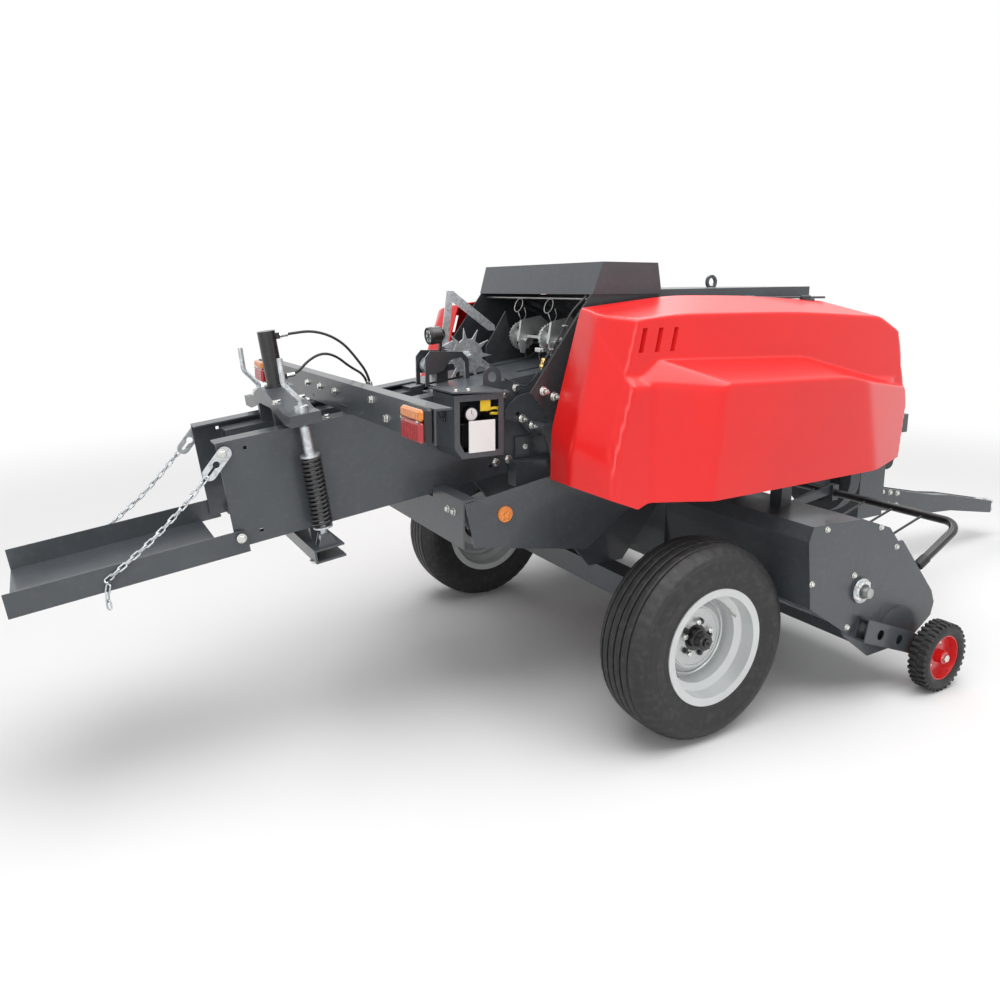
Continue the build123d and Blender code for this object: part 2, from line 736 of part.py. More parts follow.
with BuildPart() as meter_stand:
    slab([(-592, 1440), (-540, 1464), (-440, 1410), (-365, deck_z(-365) + 24), (-365, deck_z(-365)),
          (-470, deck_z(-470)), (-520, 1376), (-580, 1392)],
         side(star_y + 34), -6)
    disc(Plane(origin=(star_x, star_y + 40, star_z), z_dir=(0, -1, 0)), 10, 80)
    slab([(-560, 1668), (-530, 1668), (-330, 1522), (-330, 1500), (-360, 1500), (-545, 1632)],
         side(star_y + 46), -6)
    slab([(-560, 1668), (-530, 1668), (-560, 1440), (star_x, star_z + 14), (star_x, star_z - 14),
          (-594, 1440)],
         side(star_y + 40), -6)
    drum_x = -665
    drum_z = 1367
    for y in (-30, star_y + 29):
        foot = [(-712, deck_z(-712)), (-512, deck_z(-512))]
        inner_foot = [(-530, deck_z(-530) - 1), (-694, deck_z(-694) - 1)]
        slab([foot[0], (-712, 1405), (-690, 1430), (-545, 1424), (-516, 1392), foot[1]], side(y), -5)
        slab([inner_foot[1], (-694, 1336), (-672, 1336), (-630, 1350), (-600, 1390), (-552, 1402),
              (-534, 1380), inner_foot[0]], side(y - 1), -7, mode=Mode.SUBTRACT)
        disc(Plane(origin=(drum_x, y, drum_z), z_dir=(0, 1, 0)), 16, 5)
    disc(Plane(origin=(drum_x, 8, drum_z), z_dir=(0, 1, 0)), 36, 42)
    disc(Plane(origin=(drum_x, -30, drum_z), z_dir=(0, 1, 0)), 6, star_y + 62)
keep("metering_arm", meter_stand.part)

with BuildPart() as work_lamp:
    turned([(-38, 0), (-38, 34), (-30, 36), (8, 34), (26, 18), (30, 0)],
           Plane(origin=(-640, 0, 1493), x_dir=(1, 0, 0.1), z_dir=(0, -1, 0)))
    block((-636, -624), (-6, 6), (1400, 1470))
    slab([(-650, deck_z(-650)), (-600, deck_z(-600)), (-600, 1402), (-650, 1402)], side(-6), -12)
keep("work_lamp", work_lamp.part)

# Knotter bay: side plates, cross shelf, the two knotters and the hood over them
bay_y = 440
with BuildPart() as knotter_frame:
    slab([(-200, 1655), (135, 1655), (135, 1120), (-330, 1120), (-470, 1293)], side(-bay_y + 6), 6)
    block((0, 60), (-bay_y + 6, -chamber_half_width), (1240, 1300))
    mirror(about=Plane.XZ)
    shelf_foot = deck_z(0)
    slab([(-204, 1578), (-304, 1424), (-304, deck_z(-304)), (-60, deck_z(-60)), (-60, 1424),
          (-165, 1424)], side(200), -6)
    block((-20, 60), (-bay_y + 6, bay_y - 6), (shelf_foot + 40, shelf_foot + 52))
    block((120, 126), (-bay_y + 6, bay_y - 6), (shelf_foot + 40, 1650))
keep("knotter_frame", knotter_frame.part)

with BuildPart() as knotters:
    for hand in (-1, 1):
        y = hand * 120
        with BuildSketch(side(y + 20)) as drive_disc:
            with Locations((-150, 1470)):
                Circle(60)
                with PolarLocations(60, 24):
                    Rectangle(7, 5)
                with PolarLocations(40, 3):
                    Circle(9, mode=Mode.SUBTRACT)
        extrude(drive_disc.sketch, amount=-14)
        with BuildSketch(side(y - 22)) as twine_disc:
            with Locations((-168, 1452)):
                Circle(38)
                with PolarLocations(38, 6, start_angle=15):
                    Circle(8, mode=Mode.SUBTRACT)
        extrude(twine_disc.sketch, amount=12)
        disc(Plane(origin=(-150, y + 20, 1470), z_dir=(0, -1, 0)), 30, 44)
        disc(Plane(origin=(-168, y - 20, 1452), z_dir=(0, -1, 0)), 12, 22)
        slab([(-206, 1456), (-196, 1400), (-178, 1396), (-160, 1440), (-160, 1460)],
             side(y - 34), 8)
        slab([(-200, 1470), (-120, 1480), (-20, 1440), (-20, shelf_foot + 52), (30, shelf_foot + 52),
              (30, 1470), (-90, 1560), (-190, 1540)], side(y - 20), 14)
    block((-156, -144), (-300, 300), (1464, 1476))
keep("knotters", knotters.part)

hood_half = 460
with BuildPart() as hood:
    with BuildSketch(Plane.XY.offset(1655)) as hood_foot:
        with Locations((-28, 0)):
            Rectangle(344, 2 * hood_half - 24)
    with BuildSketch(Plane.XY.offset(1778)) as hood_top:
        with Locations((-25, 0)):
            Rectangle(270, 2 * hood_half)
    loft([hood_foot.sketch, hood_top.sketch], ruled=True)
    with BuildSketch(Plane.XY.offset(1654)) as hollow_foot:
        with Locations((-28, 0)):
            Rectangle(338, 2 * hood_half - 30)
    with BuildSketch(Plane.XY.offset(1774)) as hollow_top:
        with Locations((-25, 0)):
            Rectangle(266, 2 * hood_half - 6)
    loft([hollow_foot.sketch, hollow_top.sketch], ruled=True, mode=Mode.SUBTRACT)
keep("knotter_hood", hood.part)

roof_half = 400
with BuildPart() as roof:
    slab([(144, 1668), (1080, 1682), (1080, 1688), (144, 1674)], side(-roof_half), -2 * roof_half)
    for hand in (-1, 1):
        flange_y = sorted((hand * (roof_half - 4), hand * roof_half))
        slab([(144, 1630), (1080, 1640), (1080, 1684), (144, 1670)], side(flange_y[0]), -4)
        leg_y = sorted((hand * 200, hand * inner_y))
        for x in (200, 1000):
            slab([(x, deck_z(x)), (x + 40, deck_z(x + 40)), (x + 40, 1670 + 0.015 * x),
                  (x, 1670 + 0.015 * x)], side(leg_y[0]), -30)
    with BuildSketch(side(0)) as ring:
        with Locations((850, 1710)):
            Circle(34)
            Circle(20, mode=Mode.SUBTRACT)
    extrude(ring.sketch, amount=6, both=True)
    for hand in (-1, 1):
        rail = sorted((hand * roof_half, hand * (cover_hinge_y - 16)))
        block((150, 1080), rail, (1636, 1642))
        for lug_x in (150, 400, 800, 1070):
            lug = sorted((hand * (cover_hinge_y - 16), hand * cover_hinge_y))
            block((lug_x, lug_x + 10), lug, (1634, 1644))
        disc(Plane(origin=(150, hand * cover_hinge_y, cover_hinge_z), z_dir=(1, 0, 0)),
             hinge_rod_radius, 930)
keep("front_roof", roof.part)

# Side frames outside the chamber, and the cross plate that joins them behind
side_y = 488
with BuildPart() as side_frame:
    slab([(-780, 916), (-350, 988), (20, 830), (-234, 660), (-740, 748)], side(-side_y), 6)
    block((-130, -60), (-side_y, -beam_outer_y - gusset_plate), (740, 790))
    block((-786, -780), (-side_y - 6, -chamber_half_width - 4), (748, 930))
    block((-786, -730), (-side_y - 6, -chamber_half_width - 4), (924, 930))
    mirror(about=Plane.XZ)
    block((-786, -780), (-side_y, side_y), (748, 890))
keep("side_frames", side_frame.part)

with BuildPart() as yoke:
    for hand in (-1, 1):
        arm = sorted((hand * 350, hand * 362))
        with BuildSketch(side(arm[0])) as arm_outline:
            with BuildLine():
                Polyline((-60, 860), (-690, 850), (-700, 770), (-60, 820), close=True)
            make_face()
            fillet(arm_outline.vertices(), 12)
        extrude(arm_outline.sketch, amount=-12)
        curve = [(-690, hand * 120, 800), (-560, hand * 120, 700), (-400, hand * 120, 690)]
        tube(curve, [160], 9)
    block((-705, -665), (-362, 362), (790, 830))
    disc(Plane(origin=(-80, 302 + 60, 840), z_dir=(0, -1, 0)), 16, 60 - gusset_plate)
    disc(Plane(origin=(-80, -302 - gusset_plate, 840), z_dir=(0, -1, 0)), 16, 60 - gusset_plate)
keep("needle_yoke", yoke.part)

with BuildPart() as gussets:
    boss_end = 338
    outline = [
        (-476, 1168), (-474, 1198), (-448, 1234), (-412, 1258), (-360, 1270), (-307, 1243), (-285, 1190),
        (-290, 1110), (-328, 1085), (-372, 1112), (-400, 1150),
    ]
    slab(outline, side(-chamber_half_width - 14), 8)
    disc(Plane(origin=(-417, -chamber_half_width - 10, 1186), z_dir=(0, -1, 0)), 9, 20, mode=Mode.SUBTRACT)
    disc(Plane(origin=(-328, -chamber_half_width, 1125), z_dir=(0, -1, 0)), 24, boss_end - chamber_half_width)
    block((-400, -376), (-chamber_half_width - 14, -chamber_half_width), (1190, 1230))
    slab([(-350, 1135), (-310, 1150), (-205, 850), (-245, 836)], side(-boss_end + 12), 12)
    disc(Plane(origin=(-225, -boss_end, 846), z_dir=(0, -1, 0)), 14, 350 - boss_end)
    block((-420, -352), (-chamber_half_width - 12, -chamber_half_width), (beam_top_z + 2, 1090))
    mirror(about=Plane.XZ)
keep("needle_lifts", gussets.part)

with BuildPart() as reflectors:
    for hand in (-1, 1):
        disc(Plane(origin=(-614, hand * (side_y + 6), 858), z_dir=(0, hand, 0)), 30, 6)
keep("reflectors", reflectors.part)

# Gearbox, flywheel and the input shaft with its guard
drive_z = 660
flywheel_radius = 235
with BuildPart() as gearbox:
    block((1540, 1690), (-130, 130), (560, beam_top_z - 12))
    fillet(gearbox.edges().filter_by(Axis.X), 30)
    disc(Plane(origin=(1690, 0, drive_z), z_dir=(1, 0, 0)), 70, 20)
    disc(Plane(origin=(1710, 0, drive_z), z_dir=(1, 0, 0)), 30 + running_gap, -60, mode=Mode.SUBTRACT)
keep("gearbox", gearbox.part)

with BuildPart() as flywheel:
    turned(
        [
            (1660, 0), (1660, 30), (1716, 30), (1716, 60), (1740, 60), (1740, 170), (1722, 170),
            (1722, flywheel_radius), (1802, flywheel_radius), (1802, 185), (1760, 170), (1760, 60),
            (1800, 45), (1830, 45), (1830, 28), (2300, 28), (2300, 18), (2420, 18), (2420, 0),
        ],
        Plane(origin=(0, 0, drive_z), x_dir=(1, 0, 0), z_dir=(0, -1, 0)),
    )
keep("flywheel", flywheel.part)

with BuildPart() as pto_guard:
    guard_hole = 28 + 6
    turned([(2120, guard_hole), (2120, 46), (2290, 56), (2345, 62), (2345, 56), (2290, guard_hole + 14),
            (2290, guard_hole)],
           Plane(origin=(0, 0, drive_z), x_dir=(1, 0, 0), z_dir=(0, -1, 0)))
    for hand in (-1, 1):
        arm = sorted((hand * 40, hand * post_half_gap))
        block((2130, 2160), arm, (drive_z - 15, drive_z + 15))
keep("pto_guard", pto_guard.part)

# Feed duct from the pickup up to the chamber
with BuildPart() as feed_duct:
    duct_y = beam_inner_y
    for hand in (-1, 1):
        low = sorted((hand * duct_y, hand * (duct_y - 6)))[0]
        slab([(400, beam_bottom_z), (400, 450), (550, 340), (820, 340), (845, 470), (900, 750),
              (900, beam_bottom_z)], side(low), -6)
        disc(Plane(origin=(auger_x, hand * (duct_y + 2), auger_z), z_dir=(0, -hand, 0)), 46, 12,
             mode=Mode.SUBTRACT)
    block((394, 400), (-duct_y, duct_y), (450, beam_bottom_z))
    slab([(394, 450), (550, 336), (820, 336), (820, 340), (552, 340), (400, 451)], side(-duct_y),
         -2 * duct_y)
    for hand in (-1, 1):
        ear = sorted((hand * duct_y, hand * beam_outer_y))
        block((400, 460), ear, (beam_bottom_z - 12, beam_bottom_z))
        block((840, 900), ear, (beam_bottom_z - 12, beam_bottom_z))
keep("feed_duct", feed_duct.part)

# Auger housing: end plates, rear and top sheets, auger pan and hanging posts
housing_inner = housing_half_width - housing_plate
with BuildPart() as housing:
    slab([(408, 797), (385, 739), (419, 467), (652, 316), (950, 620), (944, 650), (872, 726),
          (695, 787)], side(-housing_inner), housing_plate)
    disc(Plane(origin=(auger_x, -housing_inner, auger_z), z_dir=(0, -1, 0)), bearing_radius, 30)
    disc(Plane(origin=(auger_x, -housing_inner + 24, auger_z), z_dir=(0, -1, 0)), bearing_radius, 24)
    disc(Plane(origin=(auger_x, -housing_half_width, auger_z), z_dir=(0, -1, 0)), 52, 10)
    disc(Plane(origin=(auger_x, -housing_inner + 25, auger_z), z_dir=(0, -1, 0)),
         auger_shaft_radius + running_gap, 60, mode=Mode.SUBTRACT)
    wide = housing_inner - duct_y
    narrow = housing_inner - 24 - duct_y
    sheet([(868, 724), (695, 783), (412, 793), (389, 739), (423, 467)], side(-duct_y), 4, wide)
    sheet([(423, 467), (560, 390), (640, 366), (740, 360), (800, 380), (838, 440)],
          side(-duct_y), 4, narrow)
    block((560, 620), (-760, -700), (785, beam_bottom_z))
    block((560, 620), (-760, -beam_outer_y), (beam_bottom_z, beam_bottom_z + 40))
    mirror(about=Plane.XZ)
keep("auger_housing", housing.part)

flight_inner = 37
flight_pitch = 200
flight_thickness = 5
flight_start = 380
flight_length = 600


def flight(hand):
    """One auger flight, wound so that both sides bring the crop to the middle."""
    middle_radius = (auger_radius + flight_inner) / 2
    with BuildPart() as wound:
        with BuildLine() as coil:
            Helix(flight_pitch, flight_length, middle_radius, center=(auger_x, hand * flight_start, auger_z),
                  direction=(0, hand, 0), lefthand=hand > 0)
        start = coil.line @ 0
        outward = start - Vector(auger_x, start.Y, auger_z)
        with BuildSketch(Plane(origin=start, x_dir=outward, z_dir=coil.line % 0)) as strip:
            Rectangle(auger_radius - flight_inner, flight_thickness)
        sweep(strip.sketch, path=coil.line, is_frenet=True)
    return wound.part


with BuildPart() as auger:
    shaft_half = housing_half_width + 50
    disc(Plane(origin=(auger_x, shaft_half, auger_z), z_dir=(0, -1, 0)), auger_shaft_radius,
         2 * shaft_half)
    for hand in (-1, 1):
        disc(Plane(origin=(auger_x, hand * 360, auger_z), z_dir=(0, hand, 0)), flight_inner + 1, 640)
        add(flight(hand))
    disc(Plane(origin=(auger_x, 200, auger_z), z_dir=(0, -1, 0)), flight_inner + 1, 400)
    with BuildSketch(side(180)) as paddles:
        with Locations((auger_x, auger_z)):
            with PolarLocations(68, 4, start_angle=45):
                Rectangle(64, 6)
    extrude(paddles.sketch, amount=360)
keep("cross_auger", auger.part)

# Pickup: end plates that swing on the bearing tubes, lower beam, guard arms
plate_y = housing_inner - pickup_plate_gap
with BuildPart() as pickup:
    slab([(620, 350), (650, 300), (815, 177), (1090, 180), (1235, 270), (1250, 328), (1225, 385),
          (985, 650), (930, 650), (900, 600)], side(-plate_y + pickup_plate), pickup_plate)
    disc(Plane(origin=(auger_x, -plate_y + pickup_plate, auger_z), z_dir=(0, -1, 0)), 70, pickup_plate)
    disc(Plane(origin=(auger_x, -plate_y + pickup_plate, auger_z), z_dir=(0, -1, 0)),
         bearing_radius + running_gap, pickup_plate, mode=Mode.SUBTRACT)
    disc(Plane(origin=(reel_x, -plate_y + pickup_plate, reel_z), z_dir=(0, -1, 0)),
         reel_shaft_radius + running_gap, pickup_plate, mode=Mode.SUBTRACT)
    slab([(735, 371), (1060, 240), (1150, 190), (1150, 120), (1110, 115), (1010, 165), (713, 278)],
         side(-plate_y), arm_depth)
    slab([(700, 376), (1000, 255), (980, 186), (690, 294)], side(-plate_y - arm_wall),
         arm_depth - 2 * arm_wall, mode=Mode.SUBTRACT)
    with BuildSketch(side(-plate_y - arm_depth / 2)) as arm_holes:
        with Locations((818, 287), (948, 237)):
            Circle(22)
    extrude(arm_holes.sketch, amount=arm_depth, mode=Mode.SUBTRACT)
    with BuildSketch(side(-plate_y)) as cap_outline:
        with Locations((985, 235)):
            Circle(125)
        with Locations((985, 300)):
            Rectangle(260, 200, mode=Mode.INTERSECT)
    extrude(cap_outline.sketch, amount=14)
    disc(Plane(origin=(gauge_x, -plate_y - arm_depth, gauge_radius), z_dir=(0, -1, 0)), 10, 105)
    block((786, 826), (-plate_y + pickup_plate, 0), (220, 260))
    block((1438, 1482), (-guard_arm_y - 22, -guard_arm_y + 22), (600, 680))
    disc(Plane(origin=(guard_x, -guard_arm_y - 23, guard_z), z_dir=(0, 1, 0)),
         guard_tube_radius + running_gap, 50, mode=Mode.SUBTRACT)
    slab([(680, 500), (740, 545), (1438, 680), (1438, 630), (900, 560), (740, 450)],
         side(-guard_arm_y + 6), 12)
    disc(Plane(origin=(auger_x, -guard_arm_y + 6, auger_z), z_dir=(0, -1, 0)), 46, 12)
    disc(Plane(origin=(auger_x, -guard_arm_y + 6, auger_z), z_dir=(0, -1, 0)),
         auger_shaft_radius + running_gap, 12, mode=Mode.SUBTRACT)
    mirror(about=Plane.XZ)
keep("pickup_frame", pickup.part)

with BuildPart() as band:
    start = (reel_x + band_radius * cos(radians(-125)), reel_z + band_radius * sin(radians(-125)))
    end = (reel_x + band_radius * cos(radians(110)), reel_z + band_radius * sin(radians(110)))
    with BuildSketch(side(band_width / 2)) as band_section:
        with BuildLine():
            Polyline((832, 263), (900, 205), start)
            ThreePointArc(start, (reel_x + band_radius, reel_z), end)
            Line(end, (862, 470))
        trace(line_width=3)
    extrude(amount=band_width)

span = (band_count - 1) * band_pitch
with BuildPart() as strippers:
    with GridLocations(0, band_pitch, 1, band_count):
        add(band.part)
    block((800, 838), (-plate_y + pickup_plate, plate_y - pickup_plate), (260, 266))
keep("stripper_bands", strippers.part)

reel_half = plate_y - 3
bar_count = 4
bar_radius = 95
with BuildPart() as reel:
    disc(Plane(origin=(reel_x, reel_half, reel_z), z_dir=(0, -1, 0)),
         reel_shaft_radius, 2 * reel_half)
    with BuildSketch(side(980)) as tine_bars:
        with Locations((reel_x, reel_z)):
            with PolarLocations(bar_radius, bar_count, start_angle=20):
                Circle(12)
    extrude(amount=1960)
    for turn in range(bar_count):
        angle = radians(360 / bar_count * turn + 20)
        outward = Vector(cos(angle), 0, sin(angle))
        row = Plane(origin=Vector(reel_x, 0, reel_z) + outward * (bar_radius + tine_tip_radius) / 2,
                    x_dir=outward, z_dir=outward.cross(Vector(0, 1, 0)))
        with BuildSketch(row) as tines:
            with GridLocations(0, band_pitch, 1, band_count - 1):
                Rectangle(tine_tip_radius - bar_radius, 6)
        extrude(amount=3, both=True)
    for y in (-1006, -343, 337, 1000):
        disc(Plane(origin=(reel_x, y, reel_z), z_dir=(0, 1, 0)), 112, 6)
keep("pickup_reel", reel.part)

with BuildPart() as gauge_tyre:
    half = gauge_width / 2
    turned([(-half + 8, 98), (half - 8, 98), (half, 118), (half - 6, 140), (half - 22, 149),
            (0, gauge_radius), (-half + 22, 149), (-half + 6, 140), (-half, 118)],
           cross_axis(gauge_x, -gauge_y, gauge_radius))
keep_pair("gauge_tyre", gauge_tyre.part)

with BuildPart() as gauge_rim:
    turned([(-half + 10, 97.7), (half - 10, 97.7), (half - 10, 92), (10, 84), (6, 30), (30, 26),
            (30, 10 + running_gap), (-34, 10 + running_gap), (-34, 26), (-4, 30), (-2, 84),
            (-half + 10, 92)],
           cross_axis(gauge_x, -gauge_y, gauge_radius))
keep_pair("gauge_rim", gauge_rim.part)

# Windguard over the pickup
with BuildPart() as windguard:
    ends = (1170, guard_half_width, 496)
    tube(
        [
            (ends[0], -ends[1], ends[2]), (guard_x, -ends[1], guard_z), (guard_x, ends[1], guard_z),
            (ends[0], ends[1], ends[2]),
        ],
        [75, 75],
        guard_tube_radius,
    )
    rod_count = 12
    for index in range(rod_count):
        y = (index - (rod_count - 1) / 2) * 150
        if abs(abs(y) - guard_arm_y) > 60:
            tube([(guard_x, y, guard_z), (1300, y, guard_z - 42), (1150, y, guard_z - 84)], [400], 5.5)
keep("windguard", windguard.part)

# Side covers: layers of (distance from the middle, outline), each lofted to the next. The lower
# half flares out, and a bulge stands out of it
open_below = 1000
open_drop = 36
cover_layers = [
    [
        (cover_inner_y, [
            (-414, 972), (-412, 1164), (-354, 1376), (-298, 1577), (-271, 1606), (111, 1646), (528, 1650),
            (1060, 1625), (1215, 1545), (1285, 1180), (1200, 960), (-396, 940),
        ]),
        (660, [
            (-455, 985), (-448, 1150), (-376, 1380), (-300, 1590), (-270, 1609), (111, 1622), (528, 1625),
            (1060, 1602), (1205, 1530), (1278, 1176), (1190, 958), (-415, 937),
        ]),
        (800, [
            (-397, 972), (-368, 1160), (-335, 1376), (-262, 1552), (-246, 1576), (111, 1586), (528, 1588),
            (1050, 1562), (1190, 1505), (1265, 1172), (1170, 956), (-345, 925),
        ]),
    ],
    [
        (780, [(-392, 968), (-338, 1376), (-150, 1388), (950, 1345), (1180, 1290), (1165, 950), (-345, 922)]),
        (848, [(-392, 975), (-327, 1344), (-199, 1348), (900, 1310), (1104, 1252), (1110, 948), (-279, 912)]),
    ],
    [
        (785, [(-221, 930), (-199, 1350), (-140, 1420), (594, 1403), (917, 1327), (1120, 1200), (1000, 940)]),
        (960, [(-49, 930), (-12, 1310), (27, 1357), (733, 1329), (806, 1241), (855, 1122), (892, 940)]),
    ],
]


def cover_form(inset, drop):
    """The cover's outer form, or with an inset the hollow inside it, which is open below."""
    mode = Mode.SUBTRACT if inset else Mode.ADD
    for layers in cover_layers:
        sections = []
        for index, (y, outline) in enumerate(layers):
            place = -y
            if inset and index == len(layers) - 1:
                place = -y + inset
            if inset and index == 0:
                place = -y + drop
            if inset:
                outline = [(x, z - open_drop if z < open_below else z) for x, z in outline]
            with BuildSketch(side(place)) as section:
                with BuildLine():
                    Polyline(*outline, close=True)
                make_face()
                if inset:
                    offset(amount=-inset)
            sections.append(section.sketch)
        for near, far in zip(sections, sections[1:]):
            loft([near, far], ruled=True, mode=mode)


with BuildPart() as cover:
    cover_form(0, 0)
    cover_form(cover_wall, 1)
    for knuckle_x in (250, 600, 950):
        knuckle = Plane(origin=(knuckle_x - 30, -cover_hinge_y, cover_hinge_z), z_dir=(1, 0, 0))
        block((knuckle_x - 30, knuckle_x + 30), (-cover_inner_y - 25, -cover_hinge_y),
              (cover_hinge_z - 18, cover_hinge_z + 4))
        disc(knuckle, 10, 60)
        disc(knuckle, hinge_rod_radius + running_gap, 60, mode=Mode.SUBTRACT)
    for slot_x in (-235, -163, -92):
        slab([(slot_x - 18, 1457), (slot_x - 4, 1457), (slot_x + 18, 1543), (slot_x + 4, 1543)],
             side(-cover_inner_y - 230), 100, mode=Mode.SUBTRACT)
keep_pair("cover", cover.part)

# Shift to the origin under the middle of the machine, and write
os.makedirs("parts", exist_ok=True)
for name, part in pieces.items():
    placed = part.moved(Location((-middle_x, 0, 0)))
    placed.label = name
    export_step(placed, f"parts/{name}.step")
    print(name, len(placed.solids()), round(placed.volume / 1e6, 2))
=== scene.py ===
import bmesh
import bpy
import json
import numpy as np
from math import cos, pi, radians, sin, sqrt
from mathutils import Matrix, Vector


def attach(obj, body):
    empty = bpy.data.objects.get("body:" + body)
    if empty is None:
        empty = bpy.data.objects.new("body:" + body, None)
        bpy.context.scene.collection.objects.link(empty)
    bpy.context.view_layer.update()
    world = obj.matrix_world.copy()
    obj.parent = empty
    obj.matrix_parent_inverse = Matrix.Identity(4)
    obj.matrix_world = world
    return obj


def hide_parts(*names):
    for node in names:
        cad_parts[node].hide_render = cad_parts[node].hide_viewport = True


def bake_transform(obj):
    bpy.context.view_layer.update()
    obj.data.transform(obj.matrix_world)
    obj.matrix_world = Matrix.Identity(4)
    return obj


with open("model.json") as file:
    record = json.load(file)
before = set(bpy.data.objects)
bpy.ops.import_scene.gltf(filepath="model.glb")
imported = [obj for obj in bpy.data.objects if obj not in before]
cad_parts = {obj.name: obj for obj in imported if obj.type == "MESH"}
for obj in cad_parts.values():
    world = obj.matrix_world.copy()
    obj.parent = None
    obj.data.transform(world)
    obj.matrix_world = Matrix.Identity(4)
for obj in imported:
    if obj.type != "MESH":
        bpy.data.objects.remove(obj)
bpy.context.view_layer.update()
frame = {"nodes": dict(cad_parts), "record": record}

scene = bpy.context.scene
SHIFT = 0.6665


def P(x, y, z):
    """A point measured in metres from the axle, moved to the part's own frame."""
    return Vector((x - SHIFT, y, z))


# Bale chamber's slanted frame, as in the CAD
TILT = radians(7.67)
ALONG = Vector((cos(TILT), 0, sin(TILT)))
UPWARD = Vector((-sin(TILT), 0, cos(TILT)))


def chamber(u, n, y=0.0):
    """A point u forward along the chamber, n up from its floor, y to the left, in metres."""
    return P(-1.524, y, 0.803) + ALONG * u + UPWARD * n


# Materials
COAT_ROUGHNESS = 0.08
DUST_COLOR = (0.42, 0.4, 0.36, 1)


def material(name, color, rough=0.5, metal=0.0, coat=0.0, vary=0.1, scale=6.0,
             grain=0.0, grain_scale=400.0, edge=0.0015, dust=0.0, rough_vary=0.08, kind="noise"):
    """A painted, cast, rubber or plastic surface with mottled colour, uneven gloss and fine grain."""
    mat = bpy.data.materials.new(name)
    mat.use_nodes = True
    nodes, links = mat.node_tree.nodes, mat.node_tree.links
    shader = nodes["Principled BSDF"]
    shader.inputs["Metallic"].default_value = metal
    shader.inputs["Coat Weight"].default_value = coat
    shader.inputs["Coat Roughness"].default_value = COAT_ROUGHNESS
    where = nodes.new("ShaderNodeTexCoord")
    broad = nodes.new("ShaderNodeTexNoise")
    broad.inputs["Scale"].default_value = scale
    broad.inputs["Detail"].default_value = 6
    links.new(where.outputs["Object"], broad.inputs["Vector"])
    source = broad.outputs["Fac"]
    if kind == "spangle":
        cells = nodes.new("ShaderNodeTexVoronoi")
        cells.inputs["Scale"].default_value = 90
        links.new(where.outputs["Object"], cells.inputs["Vector"])
        source = cells.outputs["Color"]
    ramp = nodes.new("ShaderNodeValToRGB")
    ramp.color_ramp.elements[0].position = 0.3
    ramp.color_ramp.elements[1].position = 0.7
    ramp.color_ramp.elements[0].color = [c * (1 - vary) for c in color] + [1]
    ramp.color_ramp.elements[1].color = [min(1, c * (1 + vary)) for c in color] + [1]
    links.new(source, ramp.inputs["Fac"])
    out = ramp.outputs["Color"]
    if dust:
        speck = nodes.new("ShaderNodeTexNoise")
        speck.inputs["Scale"].default_value = scale * 7
        speck.inputs["Detail"].default_value = 8
        links.new(where.outputs["Object"], speck.inputs["Vector"])
        amount = nodes.new("ShaderNodeMapRange")
        amount.inputs["From Min"].default_value = 0.5
        amount.inputs["From Max"].default_value = 0.8
        amount.inputs["To Max"].default_value = dust
        links.new(speck.outputs["Fac"], amount.inputs["Value"])
        mix = nodes.new("ShaderNodeMix")
        mix.data_type = "RGBA"
        mix.inputs["B"].default_value = DUST_COLOR
        links.new(amount.outputs["Result"], mix.inputs["Factor"])
        links.new(out, mix.inputs["A"])
        out = mix.outputs["Result"]
    links.new(out, shader.inputs["Base Color"])
    gloss = nodes.new("ShaderNodeMapRange")
    gloss.inputs["To Min"].default_value = max(0.02, rough - rough_vary)
    gloss.inputs["To Max"].default_value = min(1, rough + rough_vary)
    links.new(broad.outputs["Fac"], gloss.inputs["Value"])
    links.new(gloss.outputs["Result"], shader.inputs["Roughness"])
    normal = None
    if edge:
        bevel = nodes.new("ShaderNodeBevel")
        bevel.samples = 4
        bevel.inputs["Radius"].default_value = edge
        normal = bevel.outputs["Normal"]
    if grain:
        fine = nodes.new("ShaderNodeTexNoise")
        fine.inputs["Scale"].default_value = grain_scale
        fine.inputs["Detail"].default_value = 3
        links.new(where.outputs["Object"], fine.inputs["Vector"])
        bump = nodes.new("ShaderNodeBump")
        bump.inputs["Strength"].default_value = grain
        bump.inputs["Distance"].default_value = 0.001
        links.new(fine.outputs["Fac"], bump.inputs["Height"])
        if normal:
            links.new(normal, bump.inputs["Normal"])
        normal = bump.outputs["Normal"]
    if normal:
        links.new(normal, shader.inputs["Normal"])
    return mat


GREY = material("grey_paint", (0.058, 0.066, 0.075), 0.36, coat=0.2, vary=0.1, grain=0.12, dust=0.05)
DARK = material("dark_grey_paint", (0.03, 0.033, 0.037), 0.4, coat=0.2, vary=0.15, grain=0.12, dust=0.04)
BLACK = material("black_paint", (0.012, 0.012, 0.013), 0.35, coat=0.3, vary=0.2, grain=0.1, dust=0.03)
RED = material("red_cover_paint", (0.80, 0.010, 0.010), 0.30, coat=0.15, vary=0.05, scale=2.0,
               grain=0.05, grain_scale=160, edge=0, rough_vary=0.05)
RED_RIM = material("red_rim_paint", (0.62, 0.012, 0.014), 0.3, coat=0.4, grain=0.08)
SILVER = material("silver_wheel_paint", (0.62, 0.64, 0.64), 0.32, metal=0.35, coat=0.2, vary=0.05, grain=0.1,
                  dust=0.05)
GALV = material("galvanised_steel", (0.56, 0.59, 0.61), 0.42, metal=0.85, vary=0.14, kind="spangle",
                grain=0.15, rough_vary=0.12)
ZINC = material("zinc_plate", (0.66, 0.66, 0.63), 0.28, metal=0.95, vary=0.08, scale=40, grain=0.1,
                edge=0.0006)
STEEL = material("bright_steel", (0.45, 0.45, 0.44), 0.35, metal=0.9, vary=0.2, scale=20, grain=0.2,
                 grain_scale=250)
